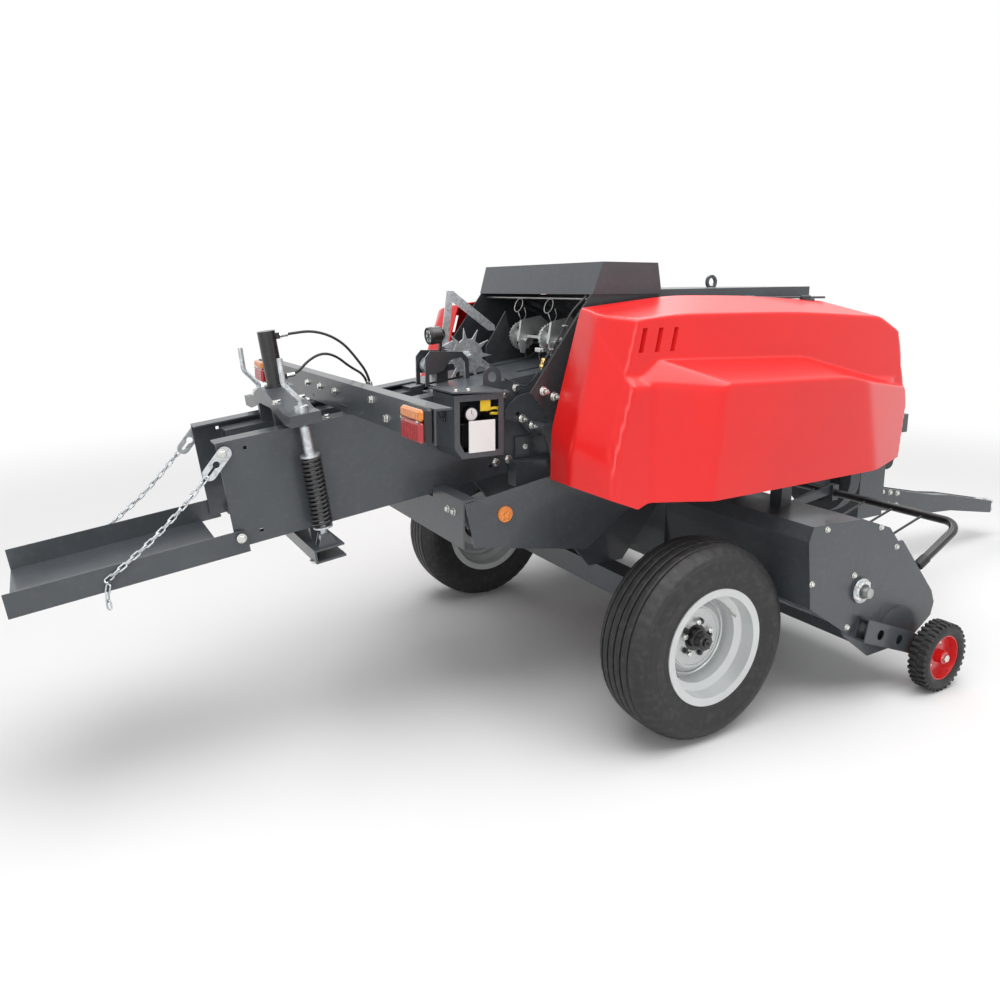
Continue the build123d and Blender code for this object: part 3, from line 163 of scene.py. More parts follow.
CAST = material("cast_iron_paint", (0.045, 0.05, 0.056), 0.5, vary=0.15, grain=0.5, grain_scale=220,
                dust=0.06)
ALU = material("cast_aluminium", (0.6, 0.61, 0.61), 0.4, metal=0.8, vary=0.12, scale=25, grain=0.4,
               grain_scale=320, edge=0.001)
RUBBER = material("tyre_rubber", (0.014, 0.014, 0.015), 0.55, vary=0.1, grain=0.25, grain_scale=260,
                  edge=0, dust=0.07, rough_vary=0.1)
HOSE = material("hose_rubber", (0.014, 0.014, 0.015), 0.45, vary=0.15, scale=30, grain=0.3, grain_scale=700,
                edge=0)
PLASTIC = material("black_plastic", (0.016, 0.016, 0.017), 0.42, vary=0.12, scale=30, grain=0.3,
                   grain_scale=600)
BRASS = material("brass", (0.62, 0.42, 0.14), 0.3, metal=0.95, vary=0.12, scale=40, grain=0.1, edge=0.0006)
WHITE = material("white_enamel", (0.82, 0.83, 0.82), 0.35, vary=0.03, grain=0.05, edge=0.0005)
YELLOW = material("yellow_plastic", (0.85, 0.6, 0.03), 0.4, vary=0.06, scale=30, grain=0.1, edge=0.0005)
AMBER = material("amber_lens", (0.75, 0.22, 0.01), 0.15, coat=0.9, vary=0.15, scale=60, edge=0.0006)
LENS_RED = material("red_lens", (0.42, 0.01, 0.015), 0.15, coat=0.9, vary=0.15, scale=60, edge=0.0006)
GLASS = material("lamp_glass", (0.62, 0.66, 0.68), 0.1, coat=1.0, vary=0.1, scale=60, edge=0)

BY_SLOT = {
    "grey_paint": GREY, "black_paint": BLACK, "red_paint": RED, "silver_paint": SILVER,
    "galvanised": GALV, "bright_steel": STEEL, "cast_iron": CAST, "aluminium": ALU,
    "tyre_rubber": RUBBER, "black_rubber": HOSE, "black_plastic": PLASTIC, "lamp_plastic": AMBER,
}
slot_of = {part["node"]: part["material_slot"] for part in frame["record"]["subparts"]}
NODE_MATERIALS = {"gauge_rim_right": RED_RIM, "gauge_rim_left": RED_RIM, "knotter_frame": DARK}
for node, obj in frame["nodes"].items():
    obj.data.materials.clear()
    obj.data.materials.append(NODE_MATERIALS.get(node, BY_SLOT[slot_of[node]]))


# Mesh tools
def frame_of(direction, hint=Vector((0, 0, 1))):
    """A rotation whose z axis is the direction."""
    z = Vector(direction).normalized()
    if abs(z.dot(hint)) > 0.99:
        hint = Vector((1, 0, 0))
    x = hint.cross(z).normalized()
    y = z.cross(x)
    return Matrix((x, y, z)).transposed()


class Shape:
    """Vertices and faces collected for one piece."""

    def __init__(self):
        self.verts = []
        self.faces = []

    def add(self, verts, faces):
        first = len(self.verts)
        self.verts += [Vector(v) for v in verts]
        self.faces += [[first + i for i in face] for face in faces]

    def grid(self, rows, closed_rows=False, closed_columns=False, caps=False):
        """Join rows of points, each as long as the first, into a skin of quads."""
        count = len(rows[0])
        verts = [p for row in rows for p in row]
        faces = []
        last_row = len(rows) if closed_rows else len(rows) - 1
        last = count if closed_columns else count - 1
        for r in range(last_row):
            for c in range(last):
                a, b = r * count + c, r * count + (c + 1) % count
                above = (r + 1) % len(rows) * count
                faces.append([a, above + c, above + (c + 1) % count, b])
        if caps:
            faces.append(list(range(count)))
            faces.append([(len(rows) - 1) * count + c for c in reversed(range(count))])
        self.add(verts, faces)

    def lathe(self, outline, origin, axis, segments=48, change=None, closed=True):
        """Turn an outline of (along, radius) points about an axis."""
        turn = frame_of(axis)
        origin = Vector(origin)
        rows = []
        for s in range(segments):
            angle = 2 * pi * s / segments
            row = []
            for k, (along, radius) in enumerate(outline):
                if change:
                    along, radius = change(s, along, radius)
                row.append(origin + turn @ Vector((radius * cos(angle), radius * sin(angle), along)))
            rows.append(row)
        self.grid(rows, closed_rows=True, closed_columns=closed)

    def disc(self, origin, axis, radius, length, segments=24, bevel=0.0):
        """A solid round with bevelled ends, from its origin along its axis."""
        b = bevel or min(radius, length) * 0.12
        outline = [(0, 0), (0, radius - b), (b, radius),
                   (length - b, radius), (length, radius - b), (length, 0)]
        self.lathe(outline, origin, axis, segments, closed=False)

    def box(self, low, high, turn=None, at=None, bevel=0.0):
        """A box with chamfered edges, between two corners, in its own frame if one is given."""
        low, high = Vector(low), Vector(high)
        b = bevel or 0.12 * min(high - low)
        mid, half = (low + high) / 2, (high - low) / 2
        verts, index = [], {}
        for sx in (-1, 1):
            for sy in (-1, 1):
                for sz in (-1, 1):
                    for k in range(3):
                        p = [half.x, half.y, half.z]
                        for m in range(3):
                            if m != k:
                                p[m] -= b
                        index[(sx, sy, sz, k)] = len(verts)
                        verts.append(mid + Vector((sx * p[0], sy * p[1], sz * p[2])))
        faces = []
        for k in range(3):
            i, j = (k + 1) % 3, (k + 2) % 3
            for s in (-1, 1):
                ring = []
                for a, c in ((-1, -1), (1, -1), (1, 1), (-1, 1)):
                    sign = [0, 0, 0]
                    sign[k], sign[i], sign[j] = s, a, c
                    ring.append(index[(*sign, k)])
                faces.append(ring if s > 0 else ring[::-1])
            for a in (-1, 1):
                for c in (-1, 1):
                    one, two = [0, 0, 0], [0, 0, 0]
                    one[k], one[i], one[j] = -1, a, c
                    two[k], two[i], two[j] = 1, a, c
                    ring = [index[(*one, i)], index[(*two, i)], index[(*two, j)], index[(*one, j)]]
                    faces.append(ring if a * c > 0 else ring[::-1])
        for sx in (-1, 1):
            for sy in (-1, 1):
                for sz in (-1, 1):
                    ring = [index[(sx, sy, sz, k)] for k in range(3)]
                    faces.append(ring if sx * sy * sz > 0 else ring[::-1])
        if turn is not None:
            verts = [Vector(at) + turn @ v for v in verts]
        self.add(verts, faces)

    def prism(self, outline, origin, x_dir, y_dir, depth, bevel=0.001):
        """An outline in the plane of x_dir and y_dir, given depth along their cross product."""
        x_dir, y_dir = Vector(x_dir).normalized(), Vector(y_dir).normalized()
        z_dir = x_dir.cross(y_dir)
        origin = Vector(origin)
        area = sum(a[0] * b[1] - b[0] * a[1] for a, b in zip(outline, outline[1:] + outline[:1]))
        outline = outline if area > 0 else outline[::-1]
        count = len(outline)
        inner = []
        for k in range(count):
            p, q, r = (Vector(outline[(k + d) % count]) for d in (-1, 0, 1))
            e, f = (q - p).normalized(), (r - q).normalized()
            inward = Vector((-e.y - f.y, e.x + f.x))
            reach = max(0.4, sqrt(max(0.05, (1 + e.dot(f)) / 2)))
            inner.append(q + inward.normalized() * bevel / reach)
        rows = []
        for ring, z in ((inner, 0), (outline, bevel), (outline, depth - bevel), (inner, depth)):
            rows.append([origin + x_dir * p[0] + y_dir * p[1] + z_dir * z for p in ring])
        verts = [p for row in rows for p in row]
        faces = []
        for r in range(3):
            for c in range(count):
                d = (c + 1) % count
                faces.append([r * count + c, r * count + d, (r + 1) * count + d, (r + 1) * count + c])
        faces.append(list(reversed(range(count))))
        faces.append([3 * count + c for c in range(count)])
        self.add(verts, faces)

    def tube(self, points, radius, sides=10, closed=False, smooth=0):
        """A round bar that follows points, with one radius or a list with one for each point."""
        points = [Vector(p) for p in points]
        if smooth:
            points = curve_through(points, smooth, closed)
        count = len(points)
        radii = radius if isinstance(radius, list) else [radius] * count
        rows = []
        side = None
        for k, p in enumerate(points):
            before = points[k - 1] if k or closed else p
            after = points[(k + 1) % count] if k < count - 1 or closed else p
            forward = (after - before).normalized()
            if side is None:
                side = frame_of(forward) @ Vector((1, 0, 0))
            side = (side - forward * side.dot(forward)).normalized()
            other = forward.cross(side)
            rows.append([p + (side * cos(2 * pi * s / sides) + other * sin(2 * pi * s / sides)) * radii[k]
                         for s in range(sides)])
        self.grid(rows, closed_rows=closed, closed_columns=True, caps=not closed)

    def bolt(self, at, normal, size, washer=True):
        """A hexagon head on a washer; size is the thread's radius."""
        normal = Vector(normal).normalized()
        at = Vector(at)
        turn = frame_of(normal)
        lift = 0.0
        if washer:
            self.disc(at, normal, size * 2.1, size * 0.28, 20, size * 0.06)
            lift = size * 0.28
        high = size * 1.25
        rows = []
        for z, r in ((lift, 1.66), (lift + high * 0.82, 1.66), (lift + high, 1.42)):
            rows.append([at + turn @ Vector((size * r * cos(pi / 3 * k), size * r * sin(pi / 3 * k), z))
                         for k in range(6)])
        self.grid(rows, closed_columns=True)
        self.add(rows[2], [list(range(6))[::-1]])

    def dome(self, at, normal, radius, height):
        """A round button head."""
        outline = [(0, radius)]
        for k in range(1, 6):
            angle = pi / 2 * k / 6
            outline.append((height * sin(angle), radius * cos(angle)))
        outline.append((height, 0))
        self.lathe(outline, at, normal, 20, closed=False)


def curve_through(points, steps, closed=False):
    """Points on a smooth curve through the given ones."""
    count = len(points)
    out = []
    for k in range(count if closed else count - 1):
        p0 = points[k - 1] if k or closed else points[0] * 2 - points[1]
        p1, p2 = points[k], points[(k + 1) % count]
        p3 = points[(k + 2) % count] if k + 2 < count or closed else p2 * 2 - p1
        for s in range(steps):
            t = s / steps
            out.append(0.5 * (2 * p1 + (p2 - p0) * t + (2 * p0 - 5 * p1 + 4 * p2 - p3) * t * t
                              + (3 * p1 - p0 - 3 * p2 + p3) * t ** 3))
    if not closed:
        out.append(points[-1])
    return out


def tidy_mesh(mesh, smooth):
    """Merge doubled points, turn faces outward and shade smooth below an angle in degrees."""
    work = bmesh.new()
    work.from_mesh(mesh)
    bmesh.ops.remove_doubles(work, verts=work.verts, dist=0.00002)
    bmesh.ops.dissolve_degenerate(work, edges=work.edges, dist=0.000005)
    bmesh.ops.recalc_face_normals(work, faces=work.faces)
    limit = radians(smooth)
    for face in work.faces:
        face.smooth = True
    for e in work.edges:
        e.smooth = len(e.link_faces) == 2 and e.calc_face_angle(0) < limit
    work.to_mesh(mesh)
    work.free()


def piece(name, shape, mat, body, node=None, smooth=35):
    """Make one object of a shape, smooth below an angle, that rides on its body if it has one."""
    mesh = bpy.data.meshes.new(name)
    mesh.from_pydata(shape.verts, [], shape.faces)
    mesh.validate()
    obj = bpy.data.objects.new(name, mesh)
    scene.collection.objects.link(obj)
    mesh.materials.append(mat)
    tidy_mesh(mesh, smooth)
    if body:
        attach(obj, body)
    if node:
        nodes = [node] if isinstance(node, str) else node
        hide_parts(*nodes)
    return obj


def across(hand, near, far):
    """The lower and the higher y of a span on one side of the machine."""
    return min(hand * near, hand * far), max(hand * near, hand * far)


SHARED_BODIES = ("frame", "pickup", "windguard")


def pair(name, build, mat, body, nodes=None, smooth=35):
    """Build the right-hand piece and its mirror image, each on its own side's body or a shared one."""
    for hand, label in ((-1, "right"), (1, "left")):
        shape = Shape()
        build(shape)
        if hand > 0:
            shape.verts = [Vector((v.x, -v.y, v.z)) for v in shape.verts]
            shape.faces = [face[::-1] for face in shape.faces]
        own_body = body if body in SHARED_BODIES else f"{body}_{label}"
        own_nodes = [f"{n}_{label}" for n in nodes] if nodes else None
        piece(f"{name}_{label}", shape, mat, own_body, own_nodes, smooth)


# Main wheels: the tread's (distance from the middle, radius)
AXLE_Z = 0.38
WHEEL_Y = -0.86
CROWN = [(0, 0.380), (0.030, 0.3795), (0.055, 0.378), (0.075, 0.375), (0.088, 0.371), (0.100, 0.361),
         (0.110, 0.348)]


def crown(w):
    """The tread's radius at a distance from the tyre's middle."""
    w = abs(w)
    for (a, ra), (b, rb) in zip(CROWN, CROWN[1:]):
        if w <= b:
            return ra + (rb - ra) * (w - a) / (b - a)
    return CROWN[-1][1]


def tyre_outline():
    """Bead, sidewall with its rings, shoulder and ribbed tread, from one bead to the other."""
    wall = [
        (0.104, 0.2045), (0.112, 0.212), (0.116, 0.222), (0.1195, 0.232), (0.1175, 0.238),
        (0.1195, 0.246), (0.1235, 0.258), (0.1265, 0.272), (0.1285, 0.285), (0.1293, 0.290),
        (0.1280, 0.2935), (0.1293, 0.297), (0.1285, 0.312), (0.1262, 0.326), (0.1225, 0.337),
        (0.1205, 0.3385), (0.1195, 0.3425), (0.114, 0.350), (0.108, 0.356),
    ]
    tread = []
    groove, half, depth = 0.035, 0.0042, 0.011
    for k in range(-2, 3):
        middle = k * groove
        for w, drop in ((-half - 0.0016, 0.0), (-half, 0.0012), (-half * 0.55, depth), (half * 0.55, depth),
                        (half, 0.0012), (half + 0.0016, 0.0)):
            tread.append((middle + w, crown(middle + w) - drop))
        if k < 2:
            mid = middle + groove / 2
            tread.append((mid - 0.005, crown(mid - 0.005)))
            tread.append((mid + 0.005, crown(mid + 0.005)))
    edge = [(0.0985, crown(0.0985) - 0.001), (0.090, crown(0.09))]
    right = [(-w, r) for w, r in wall] + [(-w, r) for w, r in edge]
    left = [(w, r) for w, r in reversed(edge)] + [(w, r) for w, r in reversed(wall)]
    return right + tread + left


def notched(s, along, radius):
    """Small sipes cut into both shoulders."""
    if 0.0885 < abs(along) < 0.11 and radius > 0.345 and s % 4 == 0:
        radius -= 0.0045
    return along, radius


def build_tyre(shape):
    """The whole tyre, turned about the axle."""
    shape.lathe(tyre_outline(), P(0, WHEEL_Y, AXLE_Z), (0, 1, 0), 192, notched)


pair("tread_tyre", build_tyre, RUBBER, "wheel", ["tyre"], smooth=40)

# Side covers
# Planes that bound a cover, each through three points of (forward, out, up): its back, top and
# front, then the outer planes of its upper panel, of its flared lower half and of its bulge
COVER_ENDS = [
    ((-0.354, 0.5, 1.376), (-0.298, 0.5, 1.577), (-0.376, 0.67, 1.38)),
    ((-0.376, 0.67, 1.38), (-0.292, 0.67, 1.609), (-0.335, 0.80, 1.376)),
    ((-0.412, 0.5, 1.164), (-0.354, 0.5, 1.376), (-0.455, 0.68, 1.115)),
    ((-0.414, 0.5, 0.972), (-0.412, 0.5, 1.164), (-0.457, 0.68, 0.999)),
    ((-0.455, 0.68, 1.115), (-0.376, 0.67, 1.38), (-0.364, 0.835, 1.15)),
    ((-0.457, 0.68, 0.999), (-0.455, 0.68, 1.115), (-0.397, 0.835, 0.975)),
    ((-0.271, 0.5, 1.606), (0.111, 0.5, 1.646), (-0.252, 0.79, 1.572)),
    ((0.0, 0.5, 1.65), (0.5, 0.5, 1.65), (0.3, 0.79, 1.588)),
    ((0.55, 0.5, 1.65), (1.06, 0.5, 1.622), (1.05, 0.79, 1.562)),
    ((1.06, 0.5, 1.622), (1.215, 0.5, 1.545), (1.19, 0.80, 1.500)),
    ((1.215, 0.5, 1.545), (1.285, 0.5, 1.18), (1.262, 0.80, 1.172)),
    ((1.285, 0.5, 1.18), (1.20, 0.5, 0.96), (1.262, 0.80, 1.172)),
]
COVER_FORMS = [
    COVER_ENDS + [
        ((0.0, 0.80, 1.376), (1.0, 0.80, 1.376), (0.0, 0.79, 1.574)),
    ],
    COVER_ENDS + [
        ((0.0, 0.835, 1.344), (1.0, 0.835, 1.344), (0.0, 0.85, 0.912)),
        ((-0.335, 0.80, 1.380), (1.156, 0.80, 1.306), (-0.327, 0.836, 1.344)),
        ((1.20, 0.78, 1.29), (1.108, 0.848, 1.252), (1.165, 0.78, 0.95)),
    ],
    COVER_ENDS + [
        ((0.027, 0.96, 1.357), (-0.049, 0.96, 0.932), (0.733, 0.953, 1.329)),
        ((-0.14, 0.82, 1.42), (0.594, 0.82, 1.403), (0.38, 0.957, 1.343)),
        ((-0.199, 0.845, 1.348), (-0.221, 0.85, 0.941), (-0.012, 0.96, 1.14)),
        ((-0.14, 0.82, 1.42), (-0.199, 0.845, 1.348), (0.012, 0.96, 1.34)),
        ((0.594, 0.82, 1.403), (0.917, 0.82, 1.327), (0.733, 0.955, 1.329)),
        ((0.806, 0.955, 1.241), (0.892, 0.95, 0.943), (1.104, 0.86, 1.252)),
    ],
]
COVER_INSIDE = np.array((0.3, 0.6, 1.15))
# The lower rim: its height at each place along the cover
COVER_FOOT = (
    (-0.46, -0.41, -0.279, -0.235, -0.1, 0.9, 1.2),
    (0.985, 0.965, 0.913, 0.93, 0.934, 0.943, 0.957),
)
COVER_EDGE = 0.004
COVER_FILLET = 0.003
COVER_WALL = 0.005
COVER_COLUMNS = 250
COVER_ROWS = 150
HALVINGS = 24
LOUVRES = (-0.235, -0.163, -0.092)
HINGES = (0.25, 0.6, 0.95)


def cover_planes():
    """The normal and offset of each plane, turned to point away from the cover's inside."""
    forms = []
    for form in COVER_FORMS:
        planes = []
        for a, b, c in form:
            a, b, c = (np.array(p) for p in (a, b, c))
            normal = np.cross(b - a, c - a)
            normal /= np.linalg.norm(normal)
            if normal @ (COVER_INSIDE - a) > 0:
                normal = -normal
            planes.append(np.append(normal, normal @ a))
        forms.append(np.array(planes))
    return forms


def cover_distance(forms, points):
    """How far points lie outside the cover, with its edges and inner corners rounded."""
    total = 0
    for planes in forms:
        out = points @ planes[:, :3].T - planes[:, 3]
        form = COVER_EDGE * np.log(np.exp(np.clip(out / COVER_EDGE, -60, 60)).sum(axis=-1))
        total = total + np.exp(np.clip(-form / COVER_FILLET, -60, 60))
    return -COVER_FILLET * np.log(total)


def cover_hits(forms, origins, directions):
    """Where rays from inside the cover meet its surface."""
    low = np.zeros(origins.shape[:-1])
    high = np.full(origins.shape[:-1], 1.2)
    for _ in range(HALVINGS):
        middle = (low + high) / 2
        outside = cover_distance(forms, origins + directions * middle[..., None]) > 0
        high = np.where(outside, middle, high)
        low = np.where(outside, low, middle)
    return origins + directions * low[..., None]


def cover_rays(columns, climb):
    """Rays that fan out from a line inside the cover: back, out to the side, then forward."""
    rear, front = 0.16, 0.84
    azimuth = np.where(columns < rear, (columns / rear - 1) * pi / 2, 0)
    azimuth = np.where(columns > front, (columns - front) / (1 - front) * pi / 2, azimuth)
    start = np.interp(columns, (0, rear, front, 1), (-0.12, -0.12, 0.98, 0.98))
    origins = np.stack([start, np.full_like(start, 0.5), np.full_like(start, 1.2)], axis=-1)
    flat = np.cos(climb)
    directions = np.stack([flat * np.sin(azimuth), flat * np.cos(azimuth), np.sin(climb)], axis=-1)
    return origins, directions


def cover_surface():
    """The cover's outer skin as a grid of points of (forward, out, up)."""
    forms = cover_planes()
    columns = np.linspace(0, 1, COVER_COLUMNS)
    low, high = np.full(COVER_COLUMNS, -1.5), np.full(COVER_COLUMNS, -0.05)
    for _ in range(HALVINGS):
        middle = (low + high) / 2
        hit = cover_hits(forms, *cover_rays(columns, middle))
        above = hit[:, 2] > np.interp(hit[:, 0], *COVER_FOOT)
        high = np.where(above, middle, high)
        low = np.where(above, low, middle)
    rows = np.linspace(0, 1, COVER_ROWS)
    climb = high[:, None] + (pi / 2 - 0.0005 - high[:, None]) * rows[None, :]
    return cover_hits(forms, *cover_rays(np.repeat(columns[:, None], COVER_ROWS, axis=1), climb))


COVER_SKIN = cover_surface()


def cover_normals(mesh, hand):
    """Shade the skin with the normals of the form itself; cut edges keep their own."""
    forms = cover_planes()
    count = len(mesh.vertices)
    points = np.empty(count * 3)
    mesh.vertices.foreach_get("co", points)
    points = (points.reshape(-1, 3) - np.array(P(0, 0, 0))) * (1, hand, 1)
    slope = []
    for axis in np.eye(3) * 0.0004:
        slope.append(cover_distance(forms, points + axis) - cover_distance(forms, points - axis))
    slope = np.stack(slope, axis=-1) * (1, hand, 1)
    slope /= np.linalg.norm(slope, axis=1, keepdims=True)
    normals = np.zeros((len(mesh.loops), 3))
    for face in mesh.polygons:
        flat = np.array(face.normal)
        for k in face.loop_indices:
            out = slope[mesh.loops[k].vertex_index]
            lean = flat @ out
            normals[k] = out if lean > 0.6 else -out if lean < -0.6 else flat
    mesh.normals_split_custom_set(normals.tolist())


for hand, label in ((-1, "right"), (1, "left")):
    skin = Shape()
    skin.grid([[P(x, hand * out, z) for x, out, z in row] for row in COVER_SKIN])
    cover = piece(f"moulded_cover_{label}", skin, RED, f"cover_{label}", f"cover_{label}")
    slots = Shape()
    for x in LOUVRES:
        outline = [(x - 0.0185, 1.458), (x + 0.001, 1.458), (x + 0.0225, 1.542), (x + 0.003, 1.542)]
        slots.prism(outline, P(0, hand * 0.78 + 0.05, 0), (1, 0, 0), (0, 0, 1), 0.10, 0.002)
    cutter_mesh = bpy.data.meshes.new("slot_cutter")
    cutter_mesh.from_pydata(slots.verts, [], slots.faces)
    tidy_mesh(cutter_mesh, 30)
    cutter = bpy.data.objects.new("slot_cutter", cutter_mesh)
    scene.collection.objects.link(cutter)
    wall = cover.modifiers.new("wall", "SOLIDIFY")
    wall.thickness = COVER_WALL
    wall.offset = -1
    cut = cover.modifiers.new("slots", "BOOLEAN")
    cut.object = cutter
    cut.solver = "EXACT"
    depsgraph = bpy.context.evaluated_depsgraph_get()
    finished = bpy.data.meshes.new_from_object(cover.evaluated_get(depsgraph))
    cover.modifiers.clear()
    cover.data = finished
    tidy_mesh(finished, 35)
    cover_normals(finished, hand)
    bpy.data.objects.remove(cutter)
    louvres = Shape()
    for x in LOUVRES:
        rows = []
        for foot, head in ((0.0035, 0.0245), (0.0005, 0.0215), (-0.0105, 0.0105), (-0.0085, 0.0125)):
            deep = 0.0005 if foot > 0 else 0.020
            rows.append([P(x + foot, hand * (0.7925 - deep), 1.457),
                         P(x + head, hand * (0.7885 - deep), 1.543)])
        louvres.grid(rows if hand < 0 else rows[::-1], closed_rows=True)
    piece(f"louvres_{label}", louvres, RED, f"cover_{label}")
    hinges = Shape()
    low, high = across(hand, 0.486, 0.515)
    for x in HINGES:
        hinges.box(P(x - 0.03, low, 1.622), P(x + 0.03, high, 1.634))
        hinges.disc(P(x - 0.03, hand * 0.486, 1.639), (1, 0, 0), 0.0098, 0.06)
    piece(f"cover_hinges_{label}", hinges, DARK, f"cover_{label}")

# Density springs
SPRING_TURNS = 16
SPRING_FOOT = 0.0185
SPRING_HEAD = 0.2635
SPRING_RADIUS = 0.0315
SPRING_WIRE = 0.0056
springs = Shape()
for hand in (-1, 1):
    path = []
    for k in range(SPRING_TURNS * 20 + 1):
        turn = k / 20
        height = SPRING_FOOT + (SPRING_HEAD - SPRING_FOOT) * turn / SPRING_TURNS
        angle = 2 * pi * turn
        along = 0.29 + SPRING_RADIUS * cos(angle)
        path.append(chamber(along, height, hand * 0.29 + SPRING_RADIUS * sin(angle)))
    springs.tube(path, SPRING_WIRE, 12)
piece("coil_springs", springs, BLACK, "frame", "density_springs", 60)

# Chute chains
def chain_link(shape, middle, forward, side, pitch, wire):
    """One welded link: a closed round bar bent to a long loop."""
    half, width = (pitch + wire) / 2, wire * 1.25
    path = []
    for k in range(16):
        angle = 2 * pi * k / 16
        stretch = (half - width) * (1 if cos(angle) >= 0 else -1)
        path.append(middle + forward * (width * cos(angle) + stretch) + side * width * sin(angle))
    shape.tube(path, wire / 2, 8, closed=True)


def chain(shape, path, pitch, wire):
    """Links along a line, each turned a quarter from the one before."""
    points = curve_through([Vector(p) for p in path], 24)
    spent, turn = 0.0, 0
    for a, b in zip(points, points[1:]):
        spent += (b - a).length
        if spent >= pitch:
            spent -= pitch
            forward = (b - a).normalized()
            level = Vector((0, 1, 0))
            upright = forward.cross(level).normalized()
            tilt = radians(38 if turn % 2 else -52)
            chain_link(shape, b, forward, level * cos(tilt) + upright * sin(tilt), pitch, wire)
            turn += 1


LINK_PITCH = 0.0262
LINK_WIRE = 0.0058
CHAIN_RUN = [(-1.601, 0.268, 1.081), (-1.694, 0.2655, 0.977), (-1.778, 0.2635, 0.894),
             (-1.856, 0.2615, 0.829), (-1.925, 0.2595, 0.776)]
CHAIN_END = [(-1.927, 0.262, 0.770), (-1.935, 0.2645, 0.72), (-1.933, 0.266, 0.69)]
chains = Shape()
for hand in (-1, 1):
    for run in (CHAIN_RUN, CHAIN_END):
        chain(chains, [P(x, hand * y, z) for x, y, z in run], LINK_PITCH, LINK_WIRE)
links = piece("chain_links", chains, GALV, None, "chute_chains", 60)
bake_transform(links)

# Hoses
HOSE_DIAMETER = 0.010


def hose(name, points, node):
    """A hydraulic hose on a smooth curve that stands for the CAD's plain one."""
    data = bpy.data.curves.new(name, "CURVE")
    data.dimensions = "3D"
    spline = data.splines.new("NURBS")
    spline.points.add(len(points) - 1)
    for k, p in enumerate(points):
        spline.points[k].co = (*p, 1)
    spline.order_u = 3
    spline.use_endpoint_u = True
    data.bevel_depth = HOSE_DIAMETER / 2
    data.bevel_resolution = 4
    data.resolution_u = 16
    data.materials.append(HOSE)
    obj = bpy.data.objects.new(name, data)
    scene.collection.objects.link(obj)
    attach(obj, "frame")
    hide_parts(node)


UPPER_PORT = chamber(0.334, 0.667)
LOWER_PORT = chamber(0.334, 0.517)
UPPER_END = chamber(0.655, 0.400, 0.010)
LOWER_END = chamber(0.655, 0.400, 0.040)
hose("pressure_hose_upper", [
    UPPER_PORT, UPPER_PORT + ALONG * 0.055, UPPER_PORT + Vector((0.118, -0.003, 0.014)),
    UPPER_PORT + Vector((0.185, -0.003, -0.002)), UPPER_PORT + Vector((0.245, 0, -0.038)),
    UPPER_PORT + Vector((0.292, 0.004, -0.092)), UPPER_END + UPWARD * 0.058, UPPER_END,
], "hose_upper")
hose("pressure_hose_lower", [
    LOWER_PORT, LOWER_PORT + ALONG * 0.040, LOWER_PORT + Vector((0.088, 0.014, 0.052)),
    LOWER_PORT + Vector((0.148, 0.024, 0.078)), LOWER_PORT + Vector((0.205, 0.032, 0.062)),
    LOWER_PORT + Vector((0.256, 0.038, 0.020)), LOWER_END + UPWARD * 0.052, LOWER_END,
], "hose_lower")
ferrules = Shape()
for port, way in ((UPPER_PORT, ALONG), (LOWER_PORT, ALONG), (UPPER_END, UPWARD), (LOWER_END, UPWARD)):
    ferrules.disc(port - way * 0.004, way, 0.0095, 0.012, 6)
    ferrules.disc(port + way * 0.006, way, 0.0082, 0.026, 20)
piece("hose_ferrules", ferrules, ZINC, "frame")

# Tail lamps: amber over red on a black shell
lamp_shell, amber, red_lens, lamp_trim = Shape(), Shape(), Shape(), Shape()
for hand in (-1, 1):
    low, high = across(hand, 0.812, 0.955)
    lamp_shell.box(P(-1.140, low, 1.243), P(-1.1125, high, 1.348), bevel=0.008)
    low, high = across(hand, 0.8155, 0.9515)
    for foot, head, target in ((1.3105, 1.344, amber), (1.2475, 1.3085, red_lens)):
        target.box(P(-1.157, low, foot), P(-1.138, high, head), bevel=0.007)
        for k in range(9):
            rib = across(hand, 0.824 + k * 0.0137, 0.833 + k * 0.0137)
            target.box(P(-1.1585, rib[0], foot + 0.006), P(-1.155, rib[1], head - 0.006), bevel=0.0012)
    for y in (0.829, 0.938):
        lamp_trim.disc(P(-1.1605, hand * y, 1.3095), (1, 0, 0), 0.004, 0.006, 12)
piece("lamp_shells", lamp_shell, PLASTIC, "frame", "tail_lamps")
piece("lamp_amber", amber, AMBER, "frame")
piece("lamp_red", red_lens, LENS_RED, "frame")
piece("lamp_screws", lamp_trim, ZINC, "frame")

# Bolts, in tables of (forward, left, up) for the right side
# Each row has a size and places: chamber side, drawbar, auger housing, auger bearing, chute
SIDE_BOLTS = [
    (0.0085, [(-0.503, -0.236, 0.993), (-0.445, -0.236, 1.000), (-0.411, -0.236, 1.288),
              (-0.461, -0.236, 1.266), (-0.373, -0.236, 1.047)]),
    (0.008, [(2.269, -0.058, 0.481), (2.345, -0.058, 0.467), (2.417, -0.058, 0.452),
             (2.267, -0.058, 0.412), (2.338, -0.058, 0.393), (2.414, -0.058, 0.378)]),
    (0.006, [(0.483, -1.05, 0.776), (0.812, -1.05, 0.736), (0.925, -1.05, 0.636),
             (0.416, -1.05, 0.570), (0.667, -1.05, 0.560), (0.648, -1.05, 0.345)]),
    (0.006, [(0.737, -1.064, 0.517), (0.683, -1.064, 0.517), (0.683, -1.064, 0.463),
             (0.737, -1.064, 0.463)]),
    (0.008, [(-1.51222, -0.262, 0.842929), (-1.558, -0.262, 1.1395)]),
]
STUDS = [(-0.416, -0.44, 1.297), (-0.367, -0.44, 1.273), (-0.349, -0.258, 1.134), (-0.397, -0.258, 1.166)]
